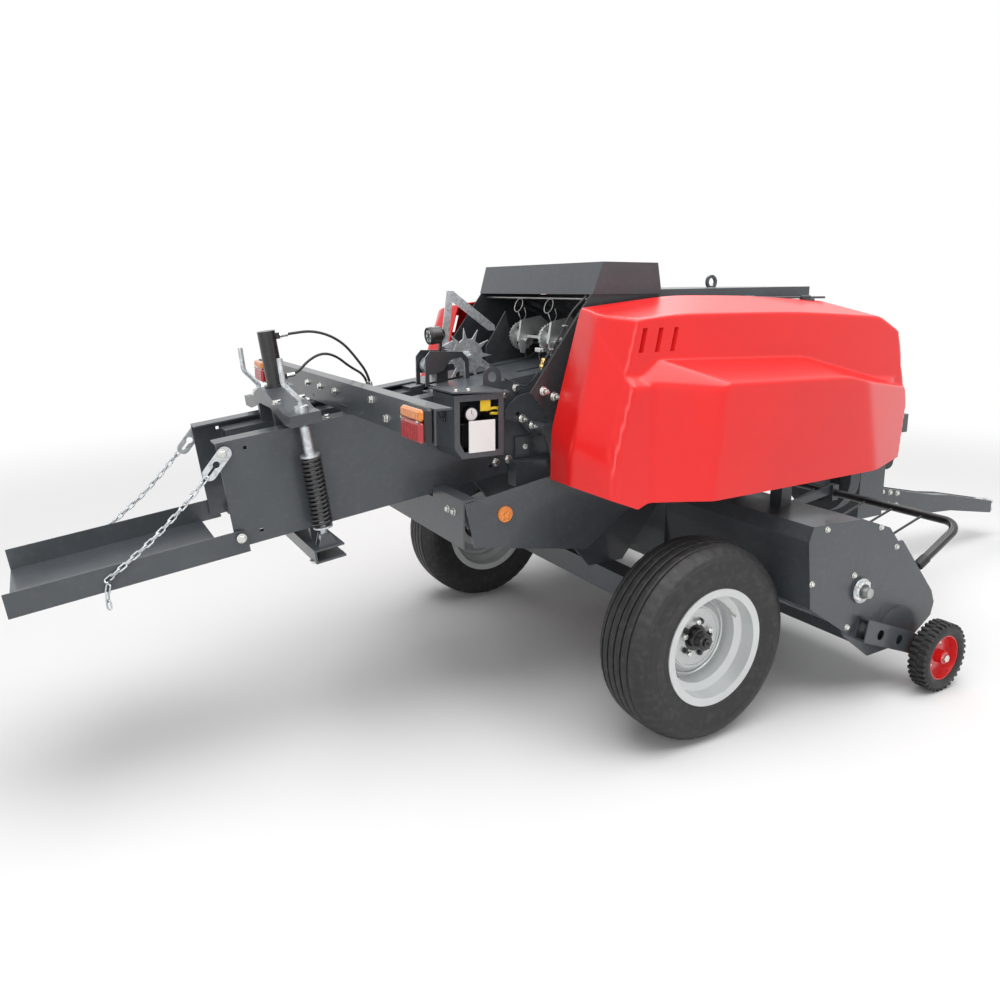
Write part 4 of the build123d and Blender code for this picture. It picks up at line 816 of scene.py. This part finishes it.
REAR_BOLTS = [
    (-1.112, -0.10, 1.304), (-1.112, -0.473, 1.316), (-1.112, -0.60, 1.27), (-1.112, -0.78, 1.27),
    (-0.786, -0.371, 0.873), (-0.786, -0.42, 0.873), (-1.112, 0.076, 1.304), (-1.112, 0.237, 1.304),
]
fastenings = Shape()
for size, places in SIDE_BOLTS:
    for x, y, z in places:
        for hand in (1, -1):
            fastenings.bolt(P(x, hand * y, z), (0, -hand, 0), size)
for x, y, z in STUDS:
    for hand in (1, -1):
        out = Vector((0, -hand, 0))
        fastenings.disc(P(x, hand * y, z), out, 0.0055, 0.042, 16)
        fastenings.bolt(P(x, hand * y, z) + out * 0.004, out, 0.0085)
        fastenings.disc(P(x, hand * y, z) + out * 0.022, out, 0.0105, 0.009, 6)
for x, y, z in REAR_BOLTS:
    fastenings.bolt(P(x, y, z), (-1, 0, 0), 0.007)
for u in (0.30, 0.62):
    for y in (-0.20, 0.20):
        fastenings.bolt(chamber(u + 0.10, 0.372, y), UPWARD, 0.007)
for u in (0.246, 0.334):
    for y in (-0.15, 0.15):
        fastenings.bolt(chamber(u, 0.447, y), UPWARD, 0.009)
for x in (-0.765, -0.715):
    fastenings.bolt(P(x, -0.405, 1.3145), (0, 0, 1), 0.005)
for y in (-0.30, 0.30):
    for u in (0.246, 0.334):
        fastenings.bolt(chamber(u, -0.108, y * 0.9), -UPWARD, 0.009)
piece("frame_bolts", fastenings, ZINC, "frame")

# Control box fittings
white_face, enamel, tag, knobs = Shape(), Shape(), Shape(), Shape()
white_face.box(P(-0.722, -0.4215, 1.085), P(-0.612, -0.4185, 1.203), bevel=0.0008)
enamel.disc(P(-0.700, -0.394, 1.225), (0, -1, 0), 0.0235, 0.0075, 40, 0.001)
tag.box(P(-0.668, -0.41, 1.235), P(-0.625, -0.406, 1.288), bevel=0.001)
tag.tube([
    P(-0.640, -0.40, 1.235), P(-0.630, -0.402, 1.240), P(-0.600, -0.405, 1.243), P(-0.585, -0.405, 1.233),
    P(-0.590, -0.403, 1.222), P(-0.622, -0.40, 1.223),
], 0.0055, 10, smooth=6)
knobs.disc(P(-0.700, -0.392, 1.225), (0, -1, 0), 0.0270, 0.0085, 40, 0.001)
for x, z in ((-0.7, 1.24), (-0.695, 1.222)):
    knobs.box(P(x - 0.001, -0.4022, min(z, 1.225)), P(x + 0.001, -0.4012, max(z, 1.2255)), bevel=0.0002)
knobs.disc(P(-0.782, -0.344, 1.224), (-1, 0, 0), 0.013, 0.020, 24)
knobs.box(P(-0.788, -0.352, 1.196), P(-0.780, -0.336, 1.224), bevel=0.003)
piece("counter_face", white_face, WHITE, "frame")
piece("gauge_face", enamel, WHITE, "frame")
piece("yellow_handle", tag, YELLOW, "frame")
piece("box_knobs", knobs, PLASTIC, "frame")

# Auger bearings' flanges and the painted arches of the metering arm
def build_flange(shape):
    """Cast flange of the auger bearing, a ring round the shaft."""
    outline = [(0.0, 0.052), (0.004, 0.051), (0.005, 0.036), (0.011, 0.033), (0.012, 0.0275), (0.0, 0.0275)]
    shape.lathe(outline, P(0.710, -1.0595, 0.490), (0, -1, 0), 48)


pair("bearing_flange", build_flange, GALV, "frame")
# The faces of the two arches, found by their plates' places, take the dark paint
ARCH_MIDDLES = (-0.0275, 0.0615)
ARCH_HALF = 0.0025
ARCH_END = P(-0.505, 0, 0).x
ARCH_TOP = 1.4315
arm = frame["nodes"]["metering_arm"].data
arm.materials.append(DARK)
for face in arm.polygons:
    x, y, z = face.center
    near = min(min(abs(abs(y - middle) - ARCH_HALF), abs(y - middle)) for middle in ARCH_MIDDLES)
    if near < 0.0008 and x < ARCH_END and z < ARCH_TOP:
        face.material_index = 1

# Main wheels' rim steps, valve, nuts and hub cap
def build_rim_details(shape):
    """Pressed ring steps on the dished face."""
    outer = [(0.0, 0.152), (-0.0035, 0.150), (-0.004, 0.146), (0.0, 0.143)]
    inner = [(0.002, 0.118), (-0.005, 0.116), (-0.005, 0.110), (0.002, 0.108)]
    shape.lathe(outer, P(0, WHEEL_Y - 0.002, AXLE_Z), (0, 1, 0), 72)
    shape.lathe(inner, P(0, WHEEL_Y - 0.0135, AXLE_Z), (0, 1, 0), 72)


def build_valve(shape):
    """The valve stem and the wheel's nuts."""
    shape.tube([P(0.135, WHEEL_Y - 0.045, AXLE_Z + 0.095), P(0.128, WHEEL_Y - 0.07, AXLE_Z + 0.09),
                P(0.122, WHEEL_Y - 0.10, AXLE_Z + 0.086)], [0.0055, 0.005, 0.0042], 12)
    for k in range(5):
        angle = 2 * pi * k / 5 + pi / 2
        at = P(0.066 * cos(angle), WHEEL_Y - 0.0255, AXLE_Z + 0.066 * sin(angle))
        shape.bolt(at, (0, -1, 0), 0.0066, washer=False)


def build_hub_cap(shape):
    """The cap over the spindle with its ring of screws."""
    shape.disc(P(0, WHEEL_Y - 0.0745, AXLE_Z), (0, -1, 0), 0.0175, 0.008, 28)
    shape.disc(P(0, WHEEL_Y - 0.0815, AXLE_Z), (0, -1, 0), 0.005, 0.008, 12)
    for k in range(6):
        angle = 2 * pi * k / 6
        at = P(0.0275 * cos(angle), WHEEL_Y - 0.071, AXLE_Z + 0.0275 * sin(angle))
        shape.disc(at, (0, -1, 0), 0.0035, 0.004, 10)


pair("rim_steps", build_rim_details, SILVER, "wheel")
pair("valve_and_nuts", build_valve, ZINC, "wheel")
pair("hub_cap", build_hub_cap, BLACK, "wheel")

# Gauge wheels
GAUGE = (1.130, -1.147, 0.150)
GAUGE_LUGS = 34


def build_gauge_tyre(shape):
    """A small cushion tyre with blocks round its crown."""
    outline = [
        (-0.034, 0.098), (-0.040, 0.108), (-0.042, 0.118), (-0.040, 0.130), (-0.034, 0.138), (-0.020, 0.1425),
        (0, 0.1435),
        (0.020, 0.1425), (0.034, 0.138), (0.040, 0.130), (0.042, 0.118), (0.040, 0.108), (0.034, 0.098),
    ]
    shape.lathe(outline, P(*GAUGE), (0, 1, 0), 96)
    for k in range(GAUGE_LUGS):
        for side in (-1, 1):
            angle = 2 * pi * (k + side * 0.25) / GAUGE_LUGS
            out = Vector((cos(angle), 0, sin(angle)))
            turn = Matrix((out.cross(Vector((0, 1, 0))), Vector((0, 1, 0)), out)).transposed()
            low, high = across(side, 0.003, 0.037)
            shape.box((-0.0078, low, 0.132), (0.0078, high, 0.1495), turn, P(*GAUGE), 0.003)


def build_gauge_hub(shape):
    """Three rim bolts and the axle's nut."""
    for k in range(3):
        angle = 2 * pi * k / 3 + pi / 2
        shape.bolt(P(1.130 + 0.060 * cos(angle), -1.1505, 0.150 + 0.060 * sin(angle)), (0, -1, 0), 0.0045)
    shape.bolt(P(1.130, -1.178, 0.150), (0, -1, 0), 0.0105)


pair("block_tyre", build_gauge_tyre, RUBBER, "gauge_wheel", ["gauge_tyre"])
pair("gauge_bolts", build_gauge_hub, ZINC, "gauge_wheel")

# Knotter bay fittings
def coil_spring(shape, start, end, radius, wire, turns):
    """A close wound spring with straight hooks at both ends."""
    run = end - start
    way = run.normalized()
    turned = frame_of(way)
    path = [start]
    for k in range(turns * 10 + 1):
        angle = 2 * pi * k / 10
        along = run.length * (0.18 + 0.64 * k / (turns * 10))
        path.append(start + way * along + turned @ Vector((radius * cos(angle), radius * sin(angle), 0)))
    path.append(end)
    shape.tube(path, wire, 6)


bay_steel, bay_springs, bay_wire, bay_plug, bay_brass = Shape(), Shape(), Shape(), Shape(), Shape()
bay_steel.tube([P(-0.165, -0.4345, 1.638), P(-0.165, 0.4345, 1.638)], 0.006, 12)
for k in range(5):
    y = -0.30 + k * 0.14
    coil_spring(bay_springs, P(-0.165, y, 1.633), P(0.119, y + 0.03, 1.535), 0.0075, 0.0016, 22)
for hand in (-1, 1):
    y = hand * 0.120
    ring = [P(-0.196 + 0.010 * sin(2 * pi * k / 24), y - 0.020 + 0.030 * cos(2 * pi * k / 24),
              1.606 + 0.029 * sin(2 * pi * k / 24)) for k in range(24)]
    bay_steel.tube(ring, 0.0019, 8, closed=True)
    front_wire = [P(-0.186, y - 0.027, 1.536), P(-0.196, y - 0.031, 1.556), P(-0.201, y - 0.024, 1.578)]
    side_wire = [P(-0.176, y - 0.027, 1.538), P(-0.178, y - 0.052, 1.565), P(-0.186, y - 0.052, 1.596)]
    bay_steel.tube(front_wire, 0.0021, 8, smooth=4)
    bay_steel.tube(side_wire, 0.0019, 8, smooth=4)
    for k in range(5):
        angle = 2 * pi * k / 5
        at = P(-0.150 + 0.019 * cos(angle), y - 0.0235, 1.470 + 0.019 * sin(angle))
        bay_steel.dome(at, (0, -1, 0), 0.0062, 0.006)
    bay_steel.bolt(P(-0.168, y - 0.0415, 1.452), (0, -1, 0), 0.0065)
    bay_steel.bolt(P(-0.050, y - 0.0340, 1.500), (0, -1, 0), 0.0055)
for x, z in ((-0.312, 1.538), (-0.372, 1.451)):
    bay_steel.box(P(x - 0.009, -0.4345, z - 0.003), P(x + 0.009, -0.4215, z + 0.003), bevel=0.001)
piece("knotter_fittings", bay_steel, STEEL, "frame")
piece("knotter_springs", bay_springs, CAST, "frame", smooth=60)
# Each wire's radius and the points that it passes through
WIRES = [
    (0.0042, [(-0.215, -0.4285, 1.648), (-0.284, -0.4285, 1.584), (-0.344, -0.4285, 1.485),
              (-0.405, -0.4285, 1.410), (-0.418, -0.4285, 1.385)]),
    (0.0028, [(-0.205, -0.4265, 1.640), (-0.262, -0.4205, 1.560), (-0.330, -0.4205, 1.470),
              (-0.385, -0.4265, 1.405)]),
    (0.0026, [(-0.356, -0.4285, 1.462), (-0.330, -0.36, 1.405), (-0.262, -0.20, 1.372),
              (-0.225, -0.115, 1.398), (-0.204, -0.098, 1.420)]),
    (0.0026, [(-0.196, -0.066, 1.424), (-0.190, -0.02, 1.405), (-0.185, 0.05, 1.378),
              (-0.165, 0.085, 1.405), (-0.158, 0.0875, 1.446)]),
    (0.0030, [(-0.418, -0.4285, 1.385), (-0.452, -0.425, 1.340), (-0.456, -0.38, 1.312),
              (-0.457, -0.30, 1.318), (-0.457, -0.226, 1.3265)]),
]
for radius, places in WIRES:
    bay_wire.tube([P(*place) for place in places], radius, 8, smooth=6)
piece("bay_wiring", bay_wire, HOSE, "frame")
bay_plug.box(P(-0.214, -0.100, 1.412), P(-0.192, -0.062, 1.430), bevel=0.0025)
piece("cable_plugs", bay_plug, WHITE, "frame")
VALVE_STEPS = ((0, 0.010, 0.0085), (0.010, 0.024, 0.0065), (0.024, 0.034, 0.0085), (0.034, 0.044, 0.005))
way = Vector((-0.35, 0, -0.94)).normalized()
for low, high, radius in VALVE_STEPS:
    bay_brass.disc(P(-0.404, -0.4265, 1.418) + way * low, way, radius, high - low, 6)
piece("brass_valve", bay_brass, BRASS, "frame")

# Work lamp's lens, windguard's sleeves and reflectors' faces
lamp_way = Vector((1, 0, 0.1)).normalized()
lamp_face = P(-0.640, 0, 1.493) - lamp_way * 0.038
lens, bezel = Shape(), Shape()
lens.disc(lamp_face + lamp_way * 0.001, -lamp_way, 0.0285, 0.004, 40, 0.0015)
bezel_outline = [
    (0.0, 0.0295), (0.006, 0.0298), (0.0075, 0.0315), (0.006, 0.0345), (-0.006, 0.0352), (-0.006, 0.0295),
]
bezel.lathe(bezel_outline, lamp_face, -lamp_way, 48)
for k in range(3):
    turn = frame_of(-lamp_way) @ Matrix.Rotation(pi * k / 3, 3, "Z")
    bezel.box((-0.001, -0.028, 0.0), (0.001, 0.028, 0.0055), turn, lamp_face)
piece("work_lamp_lens", lens, GLASS, "frame")
piece("work_lamp_bezel", bezel, PLASTIC, "frame")


def build_sleeve(shape):
    """Rubber sleeve on the end of the windguard's tube."""
    way = Vector((0.290, 0, 0.144)).normalized()
    shape.lathe([(-0.003, 0.0), (-0.003, 0.021), (0.0, 0.0222), (0.055, 0.0222), (0.058, 0.0195)],
                P(1.170, -1.0, 0.496), way, 32)


pair("guard_sleeve", build_sleeve, HOSE, "windguard")


def build_reflector(shape):
    """Sectors and rim of the round reflector."""
    for k in range(5):
        angle = 2 * pi * k / 5 + 0.3
        middle = P(-0.614 + 0.0145 * cos(angle), -0.500, 0.858 + 0.0145 * sin(angle))
        shape.dome(middle, (0, -1, 0), 0.0105, 0.0018)
    rim = [(0.0, 0.0300), (0.0025, 0.0295), (0.0025, 0.0275), (0.0, 0.0270)]
    shape.lathe(rim, P(-0.614, -0.4998, 0.858), (0, -1, 0), 48)


pair("reflector_face", build_reflector, AMBER, "frame")

# Camera
CAMERA_PLACE = P(-2.0664, -2.9796, 1.6724)
CAMERA_WAY = Vector((0.49385, 0.84865, -0.18951))
camera_data = bpy.data.cameras.new("camera")
camera = bpy.data.objects.new("camera", camera_data)
scene.collection.objects.link(camera)
scene.camera = camera
camera_data.sensor_width = 36
camera_data.lens = 29.01
camera_data.shift_x = -0.0033
camera_data.shift_y = -0.0547
camera_data.clip_end = 200
forward = CAMERA_WAY.normalized()
right = forward.cross(Vector((0, 0, 1))).normalized()
upright = right.cross(forward)
turn = Matrix((right, upright, -forward)).transposed().to_4x4()
camera.matrix_world = Matrix.Translation(CAMERA_PLACE) @ turn

# Light: three soft panels and a plain world
WORLD_LIGHT = 0.34
WORLD_SEEN = 1.0


def soft_light(name, at, size, power):
    """A rectangular panel that faces the machine."""
    data = bpy.data.lights.new(name, "AREA")
    data.shape = "RECTANGLE"
    data.size, data.size_y = size
    data.energy = power
    lamp = bpy.data.objects.new(name, data)
    scene.collection.objects.link(lamp)
    away = Vector(at) - Vector((0, 0, 0.8))
    lamp.matrix_world = Matrix.Translation(Vector(at)) @ frame_of(away).to_4x4()


soft_light("top_softbox", (-0.5, -1.5, 7.0), (9, 7), 600)
soft_light("side_softbox", (-5.5, -6.0, 3.2), (5, 4), 135)
soft_light("far_softbox", (3.5, 6.0, 7.0), (5, 3), 130)


def seen_directly(nodes, links):
    """1 for what the camera, glossy and transmitted rays see, 0 for light that falls on things."""
    paths = nodes.new("ShaderNodeLightPath")
    sharp = nodes.new("ShaderNodeMath")
    sharp.operation = "MAXIMUM"
    links.new(paths.outputs["Is Glossy Ray"], sharp.inputs[0])
    links.new(paths.outputs["Is Transmission Ray"], sharp.inputs[1])
    seen = nodes.new("ShaderNodeMath")
    seen.operation = "MAXIMUM"
    links.new(paths.outputs["Is Camera Ray"], seen.inputs[0])
    links.new(sharp.outputs[0], seen.inputs[1])
    return seen.outputs[0]


world = bpy.data.worlds.new("studio")
scene.world = world
world.use_nodes = True
nodes, links = world.node_tree.nodes, world.node_tree.links
background = nodes["Background"]
background.inputs["Color"].default_value = (1, 1, 1, 1)
bright = nodes.new("ShaderNodeMapRange")
bright.inputs["To Min"].default_value = WORLD_LIGHT
bright.inputs["To Max"].default_value = WORLD_SEEN
links.new(seen_directly(nodes, links), bright.inputs["Value"])
links.new(bright.outputs["Result"], background.inputs["Strength"])

# Floor: pale and matt under the machine, fading to the background's white further out
FLOOR_HALF = 60
FADE_START = 3.0
FADE_END = 8.0
floor_mesh = bpy.data.meshes.new("floor")
floor_mesh.from_pydata([(-FLOOR_HALF, -FLOOR_HALF, 0), (FLOOR_HALF, -FLOOR_HALF, 0),
                        (FLOOR_HALF, FLOOR_HALF, 0), (-FLOOR_HALF, FLOOR_HALF, 0)], [], [(0, 1, 2, 3)])
floor = bpy.data.objects.new("floor", floor_mesh)
scene.collection.objects.link(floor)
floor_material = bpy.data.materials.new("studio_floor")
floor_material.use_nodes = True
nodes, links = floor_material.node_tree.nodes, floor_material.node_tree.links
shader = nodes["Principled BSDF"]
shader.inputs["Base Color"].default_value = (0.86, 0.86, 0.86, 1)
shader.inputs["Roughness"].default_value = 0.9
shader.inputs["Specular IOR Level"].default_value = 0.0
where = nodes.new("ShaderNodeTexCoord")
away = nodes.new("ShaderNodeVectorMath")
away.operation = "LENGTH"
links.new(where.outputs["Object"], away.inputs[0])
fade = nodes.new("ShaderNodeMapRange")
fade.interpolation_type = "SMOOTHSTEP"
fade.inputs["From Min"].default_value = FADE_START
fade.inputs["From Max"].default_value = FADE_END
links.new(away.outputs["Value"], fade.inputs["Value"])
only_seen = nodes.new("ShaderNodeMath")
only_seen.operation = "MULTIPLY"
links.new(fade.outputs["Result"], only_seen.inputs[0])
links.new(seen_directly(nodes, links), only_seen.inputs[1])
glow = nodes.new("ShaderNodeEmission")
blend = nodes.new("ShaderNodeMixShader")
links.new(only_seen.outputs[0], blend.inputs[0])
links.new(shader.outputs[0], blend.inputs[1])
links.new(glow.outputs[0], blend.inputs[2])
links.new(blend.outputs[0], nodes["Material Output"].inputs["Surface"])
floor_mesh.materials.append(floor_material)

scene.view_settings.view_transform = "Standard"
